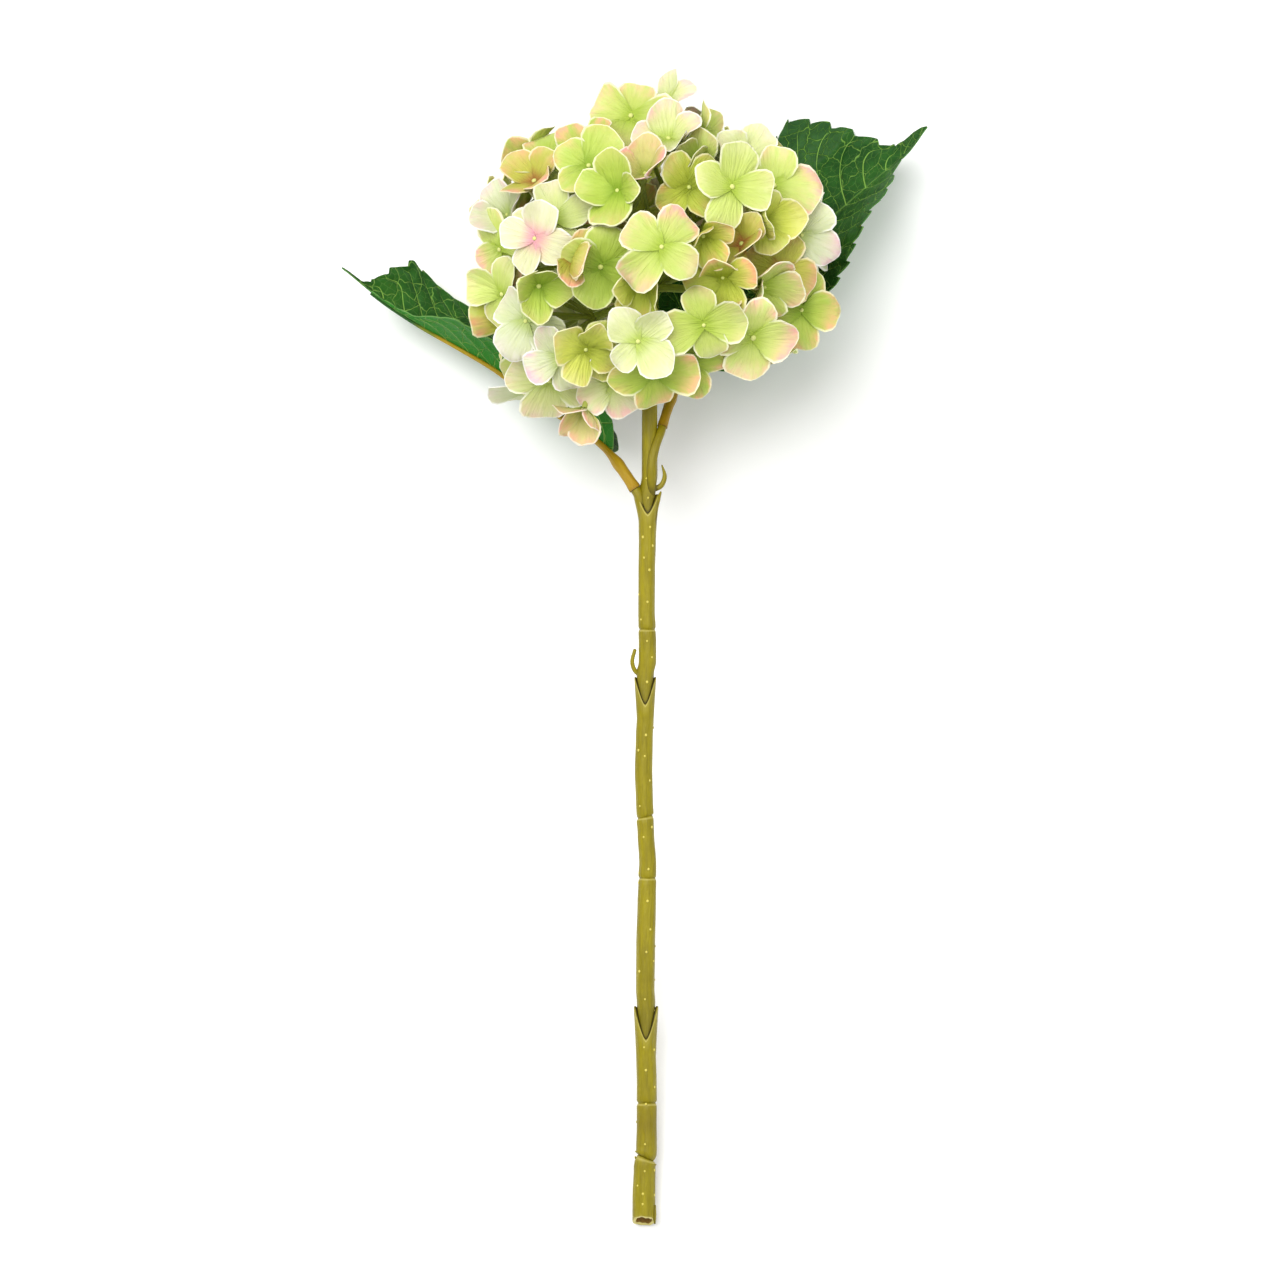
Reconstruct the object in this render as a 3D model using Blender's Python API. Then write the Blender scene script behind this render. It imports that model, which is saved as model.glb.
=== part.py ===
"""A cut hydrangea lying on a table: one stem, one round flower head and two toothed leaves.

All lengths are in metres. The plant is laid out in its own frame first: X across, Y along the stem from the
cut end to the head, Z out towards the side that is looked at. The empty lying_plant then tips that frame, so
that the cut end, the back of the head and the leaf edges rest on the surface at Z = 0.
"""

import math
import random
from dataclasses import dataclass

import bpy
from mathutils import Vector
from mathutils.bvhtree import BVHTree

# How the plant lies
LIE_ANGLE = math.radians(8.4)
CUT_END_RISE = 0.0050
ORIGIN_ACROSS = -0.0035
ORIGIN_ALONG = 0.2480

# Stem: along, across and radius of each station, read from the cut end upwards
STEM_SIDES = 14
STEM_STATIONS = (
    (0.0120, -0.0005, 0.0049),
    (0.0262, -0.0002, 0.0047),
    (0.0330, 0.0006, 0.0045),
    (0.0450, 0.0007, 0.0043),
    (0.0610, 0.0007, 0.0043),
    (0.0740, 0.0004, 0.0043),
    (0.1020, 0.0001, 0.0040),
    (0.1200, 0.0003, 0.0041),
    (0.1410, 0.0008, 0.0040),
    (0.1560, 0.0012, 0.0037),
    (0.1700, 0.0004, 0.0036),
    (0.1820, -0.0002, 0.0037),
    (0.1960, -0.0006, 0.0038),
    (0.2110, -0.0003, 0.0037),
    (0.2190, 0.0001, 0.0037),
    (0.2430, 0.0010, 0.0038),
    (0.2520, 0.0010, 0.0038),
    (0.2640, 0.0006, 0.0036),
    (0.2810, 0.0007, 0.0036),
    (0.2960, 0.0010, 0.0037),
    (0.3230, 0.0020, 0.0034),
    (0.3400, 0.0020, 0.0033),
    (0.3650, 0.0021, 0.0032),
    (0.3915, 0.0022, 0.0032),
)
CUT_RADIUS = 0.0050
CUT_SLANT = 0.44
PITH_RADIUS = 0.0036
PITH_DEPTH = 0.0030
# Grooves round the stem: along, depth, and how far the groove runs up per metre across
STEM_GROOVES = ((0.0297, 0.0009, -0.45), (0.0533, 0.0004, 0.0), (0.1500, 0.0003, 0.0),
                (0.1763, 0.0004, 0.25), (0.2570, 0.0003, 0.0))
GROOVE_HALF_WIDTH = 0.0013
# Leaf scars, where two leaf bases clasp the stem: along of the low point of the V, and the rise to its tips
LEAF_SCARS = ((0.0804, 0.0145), (0.2245, 0.0120), (0.3065, 0.0085))
SCAR_LIP = 0.0008
# Raised pale dots on the bark
DOT_COUNT = 30
DOT_RADIUS = 0.00055
DOT_HEIGHT = 0.00035

# Side shoots of the stem: points and radii
LEFT_STUB = (((0.0008, 0.3030, 0.0), 0.0028), ((-0.0010, 0.3080, 0.0), 0.0026))
RIGHT_STUB = (((0.0020, 0.3250, 0.0008), 0.0020), ((0.0030, 0.3310, 0.0014), 0.0020))
RIGHT_HORN = (((0.0026, 0.3030, 0.0), 0.0024), ((0.0042, 0.3095, 0.0), 0.0015),
              ((0.0067, 0.3157, 0.0), 0.0004))
RIGHT_STIPULE = (((0.0035, 0.3175, 0.0), 0.0011), ((0.0071, 0.3192, 0.0), 0.0010),
                 ((0.0085, 0.3232, 0.0), 0.0008), ((0.0070, 0.3272, 0.0), 0.0003))
LEFT_STIPULE = (((-0.0014, 0.2370, 0.0), 0.0010), ((-0.0043, 0.2392, 0.0), 0.0010),
                ((-0.0055, 0.2432, 0.0), 0.0009), ((-0.0044, 0.2480, 0.0), 0.0008))
STUB_END = 0.0060
PEG_LENGTH = 0.0030
PEG_SPARE = 0.0005

# Leaves: the blade, its teeth and its side veins
BLADE_THICKNESS = 0.0008
VEINS_A_SIDE = 9
VEIN_SLANT = 0.13
VEIN_RELIEF = 0.0005
TOOTH_REACH = 0.0014
TOOTH_NOTCH = 0.0012
NOTCH_PLACE = 0.25
TAIL_START = 0.85
BLADE_ROWS = (0.0, 0.28, 0.55, 0.80, 1.0)
STALK_SIDES = 8
ROD_STEPS = 22
RIB_END = 0.88
SEAT_GAP = 0.0003
FLOOR_GAP = 0.0004


@dataclass(frozen=True)
class LeafPlan:
    """Driving dimensions of one leaf. The turn takes its upper face away from the viewer, round the route.

    The outlines give the width of its left and right half along the blade, as shares of the half width.
    """

    route: tuple
    turn: tuple
    outlines: tuple
    half_width: float
    fold: float
    arch: float
    blade_start: float
    stalk_radius: float
    peg_radius: float


LEFT_LEAF = LeafPlan(
    route=((-0.0042, 0.3173, 0.0), (-0.0085, 0.3238, -0.0012), (-0.0142, 0.3315, -0.0060),
           (-0.0215, 0.3385, -0.0135), (-0.0340, 0.3470, -0.0240), (-0.0490, 0.3570, -0.0320),
           (-0.0650, 0.3690, -0.0365), (-0.0810, 0.3785, -0.0380), (-0.0970, 0.3875, -0.0385),
           (-0.1110, 0.3965, -0.0375), (-0.1230, 0.4055, -0.0330), (-0.1316, 0.4120, -0.0230)),
    turn=((0.0, -115), (0.2, -112), (0.35, -102), (0.5, -90), (0.62, -80), (0.75, -72), (1.0, -66)),
    outlines=(
        ((0.0, 0.04), (0.04, 0.30), (0.12, 0.42), (0.30, 0.44), (0.46, 0.44), (0.54, 0.54), (0.60, 0.62),
         (0.64, 0.56), (0.68, 0.40), (0.73, 0.14), (0.80, 0.06), (0.88, 0.03), (1.0, 0.015)),
        ((0.0, 0.04), (0.03, 0.24), (0.06, 0.36), (0.12, 0.58), (0.20, 0.78), (0.26, 0.85), (0.32, 0.88),
         (0.40, 0.84), (0.46, 0.72), (0.53, 0.62), (0.685, 0.60), (0.76, 0.66), (0.795, 0.69),
         (0.815, 0.57), (0.83, 0.45), (0.85, 0.33), (0.87, 0.14), (0.90, 0.04), (1.0, 0.015)),
    ),
    half_width=0.0390, fold=38, arch=0.08, blade_start=0.12, stalk_radius=0.0026, peg_radius=0.0012,
)
RIGHT_LEAF = LeafPlan(
    route=((0.0074, 0.3440, -0.0004), (0.0095, 0.3510, -0.0045), (0.0125, 0.3590, -0.0140),
           (0.0190, 0.3700, -0.0310), (0.0290, 0.3830, -0.0450), (0.0410, 0.3975, -0.0525),
           (0.0560, 0.4130, -0.0560), (0.0720, 0.4270, -0.0565), (0.0880, 0.4405, -0.0555),
           (0.1040, 0.4545, -0.0535), (0.1150, 0.4645, -0.0500), (0.1230, 0.4738, -0.0430)),
    turn=((0.0, 5), (0.35, 14), (0.54, 34), (0.67, 50), (0.78, 60), (1.0, 60)),
    outlines=(
        ((0.0, 0.04), (0.03, 0.40), (0.10, 0.62), (0.24, 0.72), (0.40, 0.78), (0.55, 0.86), (0.60, 0.90),
         (0.645, 0.99), (0.685, 1.08), (0.735, 0.93), (0.785, 0.69), (0.815, 0.48), (0.84, 0.30),
         (0.865, 0.12), (0.90, 0.06), (1.0, 0.015)),
        ((0.0, 0.04), (0.03, 0.40), (0.10, 0.62), (0.24, 0.78), (0.40, 0.84), (0.52, 0.88), (0.58, 0.91),
         (0.64, 0.86), (0.69, 0.82), (0.73, 0.76), (0.79, 0.70), (0.83, 0.52), (0.855, 0.28),
         (0.875, 0.06), (0.92, 0.03), (1.0, 0.01)),
    ),
    half_width=0.0540, fold=22, arch=0.10, blade_start=0.20, stalk_radius=0.0021, peg_radius=0.0008,
)

# Flower head
HEAD_CENTRE = Vector((0.0030, 0.4150, 0.0))
HEAD_REACH = Vector((0.0720, 0.0660, 0.0660))
HEAD_BACK_REACH = 0.0660
HEAD_SEED = 11
HUB_FOOT = Vector((0.0022, 0.3918, 0.0))
HUB_TOP = Vector((0.0022, 0.4040, 0.0))
HUB_RADIUS = 0.0046
RAY_COUNT = 12
RAY_SHARE = 0.50
RAY_RADIUS = 0.0016
RAY_KNOB = 0.0026
PEDICEL_RADIUS = 0.0009
EYE_HEIGHT = 0.0010
PETAL_THICKNESS = 0.0007
PETAL_WIDTH_SHARE = 0.46
PETAL_LENGTH = 0.0175
SETTLE_STEP = 0.0016
SETTLE_STEPS = 7
LEAF_CLEARANCE = 0.0030
SPARE_DIRECTIONS = 420
SPARE_GAP = 0.0207
SPARE_REACH_UP = 0.0600
BARE_CONE = math.radians(47)
# Florets that face the viewer, in millimetres and degrees: across and along, how far each is sunk into the
# head, how far it leans across and along, the turn of its first petal, and its petal length
FACING_FLORETS = (
    (7, 420, 0, 0.05, 0.05, 50, 19.5),
    (-47, 424, 0, -0.45, 0.05, 68, 16.5),
    (-3, 380, 0, 0.00, -0.20, 45, 18.5),
    (37, 446, 0, 0.40, 0.15, 78, 19.0),
    (55, 447, 3, 0.20, 0.15, 80, 19.5),
    (-37, 373, 0, -0.15, -0.25, 118, 17.0),
    (67, 394, 4, 0.35, -0.10, 82, 18.5),
    (67, 426, 6, 0.35, 0.00, 58, 17.0),
    (-51, 389, 0, -0.25, -0.10, 148, 17.0),
    (-41, 364, 3, -0.15, -0.45, 262, 18.5),
    (4, 367, 4, 0.00, -0.50, 272, 19.5),
    (19, 371, 5, 0.15, -0.45, 280, 18.5),
    (46, 382, 3, 0.35, -0.45, 262, 19.0),
    (25, 387, 2, 0.10, -0.25, 105, 18.0),
    (37, 392, 3, 0.20, -0.10, 45, 17.0),
    (-25, 376, 3, -0.05, -0.20, 68, 17.0),
    (10, 470, 0, 0.00, 0.35, 10, 17.8),
    (-6, 477, 2, -0.10, 0.50, 75, 18.5),
    (10, 484, 0, -0.85, 0.25, 92, 16.5),
    (28, 472, 3, 0.50, 0.45, 70, 15.0),
    (21, 458, 5, 0.10, 0.35, 60, 16.5),
    (43, 459, 4, 0.30, 0.50, 60, 17.5),
    (-14, 445, 0, -0.10, 0.15, 175, 17.5),
    (-38, 432, 3, -0.20, 0.30, 100, 18.5),
    (-24, 455, 3, -0.15, 0.45, 140, 17.0),
    (-27, 463, 5, -0.15, 0.65, 120, 17.0),
    (-49, 452, 2, -0.35, 0.45, 135, 17.0),
    (-43, 458, 6, -0.20, 0.70, 95, 18.0),
    (-62, 436, 2, -0.45, 0.15, 35, 17.0),
    (-62, 420, 6, -0.55, -0.10, 125, 17.5),
    (-61, 401, 5, -0.60, -0.10, 160, 17.5),
    (-45, 403, 4, -0.15, 0.00, 345, 18.0),
    (-29, 415, 2, -0.10, -0.10, 62, 17.0),
    (-19, 412, 6, 0.00, -0.35, 250, 17.5),
    (-3, 403, 5, 0.00, -0.45, 170, 17.0),
    (-13, 425, 6, -0.10, -0.30, 155, 17.0),
    (-1, 454, 4, 0.00, 0.30, 170, 16.5),
    (19, 446, 5, 0.10, 0.20, 130, 16.5),
    (25, 424, 6, 0.20, 0.00, 300, 16.5),
    (41, 423, 4, 0.15, 0.00, 55, 17.0),
    (53, 431, 6, 0.20, -0.35, 270, 17.0),
    (33, 407, 5, 0.10, -0.10, 190, 16.5),
    (53, 402, 4, 0.55, -0.10, 100, 17.5),
    (58, 410, 6, 0.35, 0.00, 75, 17.0),
    (30, 377, 6, 0.25, -0.50, 262, 17.0),
    (-13, 376, 5, 0.00, -0.30, 310, 17.0),
    (-14, 362, 5, 0.00, -0.70, 200, 17.0),
    (-49, 372, 4, -0.40, -0.30, 215, 17.5),
    (-52, 359, 4, -0.40, -0.75, 265, 16.5),
    (-27, 348, -12, -0.15, -0.70, 215, 15.5),
)


def clear_scene():
    """Takes every object out of the file that the script runs in."""
    for old in list(bpy.data.objects):
        bpy.data.objects.remove(old)


def finish(name, colour, roughness):
    """A plain Principled material of one colour."""
    made = bpy.data.materials.new(name)
    made.use_nodes = True
    shader = made.node_tree.nodes["Principled BSDF"]
    shader.inputs["Base Color"].default_value = (*colour, 1.0)
    shader.inputs["Roughness"].default_value = roughness
    shader.inputs["Metallic"].default_value = 0.0
    return made


def object_of(name, points, faces):
    """A new mesh object with these points and faces, linked to the scene."""
    mesh = bpy.data.meshes.new(name)
    mesh.from_pydata([tuple(p) for p in points], [], faces)
    mesh.update()
    made = bpy.data.objects.new(name, mesh)
    bpy.context.scene.collection.objects.link(made)
    return made


def fuse(base, others):
    """Joins the others to the base by one Boolean union, and removes them."""
    group = bpy.data.collections.new(base.name + "_pieces")
    bpy.context.scene.collection.children.link(group)
    for piece in others:
        bpy.context.scene.collection.objects.unlink(piece)
        group.objects.link(piece)
    union = base.modifiers.new("union", "BOOLEAN")
    union.operation = "UNION"
    union.operand_type = "COLLECTION"
    union.collection = group
    union.solver = "MANIFOLD"
    graph = bpy.context.evaluated_depsgraph_get()
    joined = bpy.data.meshes.new_from_object(base.evaluated_get(graph))
    base.modifiers.remove(union)
    base.data = joined
    for piece in list(group.objects):
        bpy.data.objects.remove(piece)
    bpy.data.collections.remove(group)
    return base


def along_spline(points, share):
    """The point at this share, 0 to 1, of a smooth curve through the points."""
    spans = len(points) - 1
    place = min(max(share, 0.0), 1.0) * spans
    i = min(int(place), spans - 1)
    t = place - i
    p1, p2 = Vector(points[i]), Vector(points[i + 1])
    p0 = Vector(points[i - 1]) if i else p1 * 2 - p2
    p3 = Vector(points[i + 2]) if i + 2 <= spans else p2 * 2 - p1
    return 0.5 * (2 * p1 + (p2 - p0) * t + (2 * p0 - 5 * p1 + 4 * p2 - p3) * t ** 2
                  + (3 * p1 - p0 - 3 * p2 + p3) * t ** 3)


def interpolated(table, x):
    """The value at x of a table of (x, value) pairs, eased between them."""
    for (x0, v0), (x1, v1) in zip(table, table[1:]):
        if x <= x1:
            t = min(max((x - x0) / (x1 - x0), 0.0), 1.0)
            return v0 + (v1 - v0) * t
    return table[-1][1]


def ring_frames(centres):
    """Two unit vectors across the path at each centre, carried along it without twist."""
    frames = []
    side = None
    for i, centre in enumerate(centres):
        ahead = centres[min(i + 1, len(centres) - 1)] - centres[max(i - 1, 0)]
        ahead.normalize()
        if side is None:
            side = ahead.orthogonal().normalized()
        side = (side - ahead * side.dot(ahead)).normalized()
        frames.append((side.copy(), ahead.cross(side)))
    return frames


def tube(name, centres, radii, sides, bore=None):
    """A closed round rod along the centres. A bore (radius, depth) leaves a blind socket in its first end."""
    frames = ring_frames(centres)
    rings = [(centres[i], frames[i], radii[i]) for i in range(len(centres))]
    if bore:
        bore_radius, depth = bore
        inside = centres[0] + (centres[1] - centres[0]).normalized() * depth
        rings = [(inside, frames[0], bore_radius), (centres[0], frames[0], bore_radius)] + rings
    points = []
    for centre, (side, up), radius in rings:
        for k in range(sides):
            turn = 2 * math.pi * k / sides
            points.append(centre + side * (radius * math.cos(turn)) + up * (radius * math.sin(turn)))
    return object_of(name, points, loft_faces(len(rings), sides))


def loft_faces(ring_count, sides):
    """Quads between rings that follow each other, and a flat face at each end."""
    faces = [tuple(reversed(range(sides)))]
    for r in range(ring_count - 1):
        for k in range(sides):
            a, b = r * sides + k, r * sides + (k + 1) % sides
            faces.append((a, b, b + sides, a + sides))
    faces.append(tuple((ring_count - 1) * sides + k for k in range(sides)))
    return faces


def point_normals(points, faces):
    """The unit normal of a sheet of triangles at each of its points."""
    normals = [Vector((0, 0, 0)) for _ in points]
    for face in faces:
        a, b, c = (points[i] for i in face)
        normal = (b - a).cross(c - a)
        for i in face:
            normals[i] += normal
    return [n.normalized() for n in normals]


def rim_edges(faces):
    """The edges that only one triangle of a sheet has, each in the direction it has there."""
    edges = {(f[i], f[(i + 1) % 3]) for f in faces for i in range(3)}
    return [(a, b) for a, b in sorted(edges) if (b, a) not in edges]


def thick_sheet(name, points, faces, thickness):
    """A closed blade: the sheet's two faces, moved apart along its normals, and the rim between them."""
    offset = [n * (thickness / 2) for n in point_normals(points, faces)]
    count = len(points)
    solid = [p + o for p, o in zip(points, offset)] + [p - o for p, o in zip(points, offset)]
    skin = [tuple(f) for f in faces] + [tuple(i + count for i in reversed(f)) for f in faces]
    for a, b in rim_edges(faces):
        skin.append((b, a, a + count))
        skin.append((b, a + count, b + count))
    return object_of(name, solid, skin)


def tree_of(points, faces):
    """A search tree of these faces, to ask it what they cross."""
    return BVHTree.FromPolygons([tuple(p) for p in points], faces)


def height_over_table(point):
    """How high a point of the plant's frame lies over the table."""
    return point.y * math.sin(LIE_ANGLE) + point.z * math.cos(LIE_ANGLE) + CUT_END_RISE


def kept_over_table(point, least):
    """The point, lifted straight off the table where it would be nearer than least."""
    up = Vector((0, math.sin(LIE_ANGLE), math.cos(LIE_ANGLE)))
    return point + up * max(0.0, least - height_over_table(point))


def stem_ring(along, across, radius, rise=0.0, flare=0.0, tilt=0.0, slant=0.0):
    """Points round the stem. rise lifts the two sides of the ring, flare widens them, and tilt slopes it."""
    points = []
    for k in range(STEM_SIDES):
        turn = 2 * math.pi * k / STEM_SIDES
        sideways = abs(math.cos(turn))
        reach = radius + flare * sideways
        x, z = reach * math.cos(turn), reach * math.sin(turn)
        points.append(Vector((across + x, along + rise * sideways ** 1.6 + tilt * x + slant * z, z)))
    return points


def stem_place(along):
    """The stem's across position and radius at this place along it."""
    across = interpolated([(s[0], s[1]) for s in STEM_STATIONS], along)
    radius = interpolated([(s[0], s[2]) for s in STEM_STATIONS], along)
    return across, radius


def scar_rings(along, rise):
    """Rings of a leaf scar: the leaf bases end in a lip shaped like a V, and the upper stem stands in it."""
    across, lower = stem_place(along - 0.006)
    _, upper = stem_place(along + rise + 0.006)
    foot = along - 0.0050
    return [
        (along + rise * 0.10, stem_ring(foot, across, lower + 0.0001, rise * 0.45, SCAR_LIP * 0.3)),
        (along + rise * 0.20, stem_ring(along, across, lower + 0.0002, rise, SCAR_LIP)),
        (along + rise * 0.30, stem_ring(along + 0.0003, across, upper + 0.0004, rise, SCAR_LIP * 0.4)),
        (along + rise * 0.40, stem_ring(along, across, upper - 0.0001, rise * 0.85)),
        (along + rise * 0.50, stem_ring(along + 0.0018, across, upper, rise)),
    ]


def groove_rings(along, depth, tilt):
    """Three rings of a groove round the stem."""
    across, radius = stem_place(along)
    return [
        (along - GROOVE_HALF_WIDTH, stem_ring(along - GROOVE_HALF_WIDTH, across, radius, tilt=tilt)),
        (along, stem_ring(along, across, radius - depth, tilt=tilt)),
        (along + GROOVE_HALF_WIDTH, stem_ring(along + GROOVE_HALF_WIDTH, across, radius, tilt=tilt)),
    ]


def shoot(name, points, sides, leaf=None):
    """A side shoot of the stem through (point, radius) pairs.

    One that bears a leaf ends in line with its stalk, in a thin peg that the stalk sits on.
    """
    centres = [Vector(p) for p, _ in points]
    radii = [r for _, r in points]
    if leaf:
        start = leaf.frame(0.0)[0]
        out = (leaf.frame(RIB_END / ROD_STEPS)[0] - start).normalized()
        end = start - out * SEAT_GAP
        peg = leaf.plan.peg_radius
        centres += [end - out * STUB_END, end, end + out * 0.0001, end + out * PEG_LENGTH]
        radii += [leaf.plan.stalk_radius * 0.92, leaf.plan.stalk_radius * 0.86, peg, peg * 0.8]
    return tube(name, centres, radii, sides)


def bark_dots():
    """Small raised dots, spread over the stem by a rule with seeded draws."""
    draw = random.Random(HEAD_SEED)
    dots = []
    for k in range(DOT_COUNT):
        along = 0.010 + 0.325 * (k + draw.uniform(0.1, 0.9)) / DOT_COUNT
        turn = draw.uniform(0, 2 * math.pi)
        across, radius = stem_place(along)
        out = Vector((math.cos(turn), 0, math.sin(turn)))
        foot = Vector((across, along, 0)) + out * (radius * 0.8)
        tip = Vector((across, along, 0)) + out * (radius + DOT_HEIGHT)
        dots.append(tube(f"dot_{k}", [foot, tip], [DOT_RADIUS, DOT_RADIUS * 0.5], 4))
    return dots


def build_stem(left_leaf, right_leaf):
    """The stem with its cut end, grooves, leaf scars, shoots and dots, as one body."""
    rings = [(along, stem_ring(along, across, radius)) for along, across, radius in STEM_STATIONS]
    for groove in STEM_GROOVES:
        rings += groove_rings(*groove)
    for along, rise in LEAF_SCARS:
        rings += scar_rings(along, rise)
    rings.sort(key=lambda ring: ring[0])
    across = STEM_STATIONS[0][1]
    cut = 0.5 * CUT_SLANT * CUT_RADIUS * 2
    end_rings = [
        stem_ring(cut + PITH_DEPTH, across, PITH_RADIUS * 0.9, slant=CUT_SLANT),
        stem_ring(cut, across, PITH_RADIUS, slant=CUT_SLANT),
        stem_ring(cut, across, CUT_RADIUS, slant=CUT_SLANT),
    ]
    points = [p for ring in end_rings for p in ring] + [p for _, ring in rings for p in ring]
    # The rings turn from +X to +Z, so a face that follows them looks inwards and is turned round
    faces = [tuple(reversed(f)) for f in loft_faces(len(rings) + len(end_rings), STEM_SIDES)]
    stem = object_of("stem", points, faces)
    shoots = [
        shoot("left_stub", LEFT_STUB, 8, leaf=left_leaf),
        shoot("right_stub", RIGHT_STUB, 8, leaf=right_leaf),
        shoot("right_horn", RIGHT_HORN, 6),
        shoot("right_stipule", RIGHT_STIPULE, 6),
        shoot("left_stipule", LEFT_STIPULE, 6),
    ]
    return fuse(stem, shoots + bark_dots())


class LeafShape:
    """The route, faces and outline of one leaf: where each point of its blade and of its stalk lies."""

    def __init__(self, plan):
        self.plan = plan
        fine = [along_spline(plan.route, k / 120) for k in range(121)]
        lengths = [0.0]
        for a, b in zip(fine, fine[1:]):
            lengths.append(lengths[-1] + (b - a).length)
        self.route = [(length / lengths[-1], point) for length, point in zip(lengths, fine)]

    def frame(self, share):
        """The route's point at this share, and unit vectors ahead, to the left and up from the upper face."""
        point = interpolated(self.route, share)
        before = interpolated(self.route, max(share - 0.02, 0.0))
        after = interpolated(self.route, min(share + 0.02, 1.0))
        ahead = (after - before).normalized()
        left = Vector((0, 0, 1)).cross(ahead).normalized()
        up = ahead.cross(left)
        turn = math.radians(interpolated(self.plan.turn, share))
        turned_up = up * math.cos(turn) + left * math.sin(turn)
        return point, ahead, turned_up.cross(ahead), turned_up

    def blade_point(self, place, side, row, tooth=0.0, relief=0.0):
        """The middle of the blade at place, 0 at its foot to 1 at its tip, and row, 0 at the rib to 1 outside."""
        leaning = place + VEIN_SLANT * row * math.sin(math.pi * place)
        plan = self.plan
        share = plan.blade_start + (1 - plan.blade_start) * leaning
        point, ahead, left, up = self.frame(share)
        outline = plan.outlines[0] if side > 0 else plan.outlines[1]
        reach = row * plan.half_width * interpolated(outline, leaning) + tooth
        fold = math.radians(plan.fold)
        out = left * (side * math.cos(fold)) + up * math.sin(fold)
        arch = -plan.arch * reach ** 2 / plan.half_width
        over = self.rod_radius(min(share, RIB_END)) + SEAT_GAP + BLADE_THICKNESS / 2
        made = point + out * reach + up * (over + arch + relief) + ahead * max(tooth, 0.0)
        return kept_over_table(made, FLOOR_GAP + BLADE_THICKNESS / 2 + row * 0.0002)

    def sheet(self):
        """The points and triangles of the blade's middle surface, with its teeth and pleated veins."""
        stations = 2 * VEINS_A_SIDE + 2
        last = len(BLADE_ROWS) - 1
        points, rows = [], {}
        for i in range(stations + 1):
            points.append(self.blade_point(i / stations, 1, 0.0))
            rows[i, 0, 1] = rows[i, 0, -1] = len(points) - 1
        for side in (1, -1):
            for i in range(stations + 1):
                place = i / stations
                fade = min(1.0, place * 6, max(0.0, (TAIL_START - place) * 8))
                for r, row in enumerate(BLADE_ROWS[1:], start=1):
                    relief = VEIN_RELIEF * fade * (-1 if i % 2 else 1) * (0.4 if r == last else 1.0)
                    tooth = TOOTH_REACH * fade if r == last else 0.0
                    points.append(self.blade_point(place, side, row, tooth, relief))
                    rows[i, r, side] = len(points) - 1
                if i < stations:
                    notch_place = (i + NOTCH_PLACE) / stations
                    points.append(self.blade_point(notch_place, side, 1.0, -TOOTH_NOTCH * fade))
                    rows[i, "notch", side] = len(points) - 1
        faces = []
        for side in (1, -1):
            for i in range(stations):
                strip = []
                for r in range(last - 1):
                    a, b = rows[i, r, side], rows[i, r + 1, side]
                    c, d = rows[i + 1, r + 1, side], rows[i + 1, r, side]
                    strip += [(a, b, c), (a, c, d)]
                inner, outer = rows[i, last - 1, side], rows[i, last, side]
                inner_next, outer_next = rows[i + 1, last - 1, side], rows[i + 1, last, side]
                notch = rows[i, "notch", side]
                strip += [(inner, outer, notch), (inner, notch, inner_next), (inner_next, notch, outer_next)]
                faces += [tuple(reversed(f)) for f in strip] if side > 0 else strip
        return points, faces

    def blade(self, name):
        """The blade as one closed sheet."""
        return thick_sheet(name, *self.sheet(), BLADE_THICKNESS)

    def rod(self, name, extra=0.0, bore=None):
        """The stalk and its rib under the blade, thicker all round by extra."""
        shares = [RIB_END * i / ROD_STEPS for i in range(ROD_STEPS + 1)]
        centres = [self.frame(share)[0] for share in shares]
        radii = [self.rod_radius(share) + extra for share in shares]
        return tube(name, centres, radii, STALK_SIDES, bore=bore)

    def rod_radius(self, share):
        """The radius of the stalk and of its rib at this share of the route."""
        start = self.plan.blade_start
        under = min(1.0, share / start)
        thin = max(0.0, (share - start * 0.5) / (RIB_END - start * 0.5))
        return self.plan.stalk_radius * (1 - 0.40 * under) * (1 - 0.66 * thin)

    def stalk(self, name):
        """The stalk with the socket that sits on the stub's peg, and its rib under the blade."""
        return self.rod(name, bore=(self.plan.peg_radius + PEG_SPARE, PEG_LENGTH + 2 * SEAT_GAP))

    def surroundings(self):
        """A search tree of the leaf with the clearance that florets keep from it."""
        blade = thick_sheet("blade_clearance", *self.sheet(), LEAF_CLEARANCE)
        rod = self.rod("stalk_clearance", extra=LEAF_CLEARANCE / 3)
        trees = [tree_of([v.co for v in o.data.vertices], [tuple(p.vertices) for p in o.data.polygons])
                 for o in (blade, rod)]
        bpy.data.objects.remove(blade)
        bpy.data.objects.remove(rod)
        return trees


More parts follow.
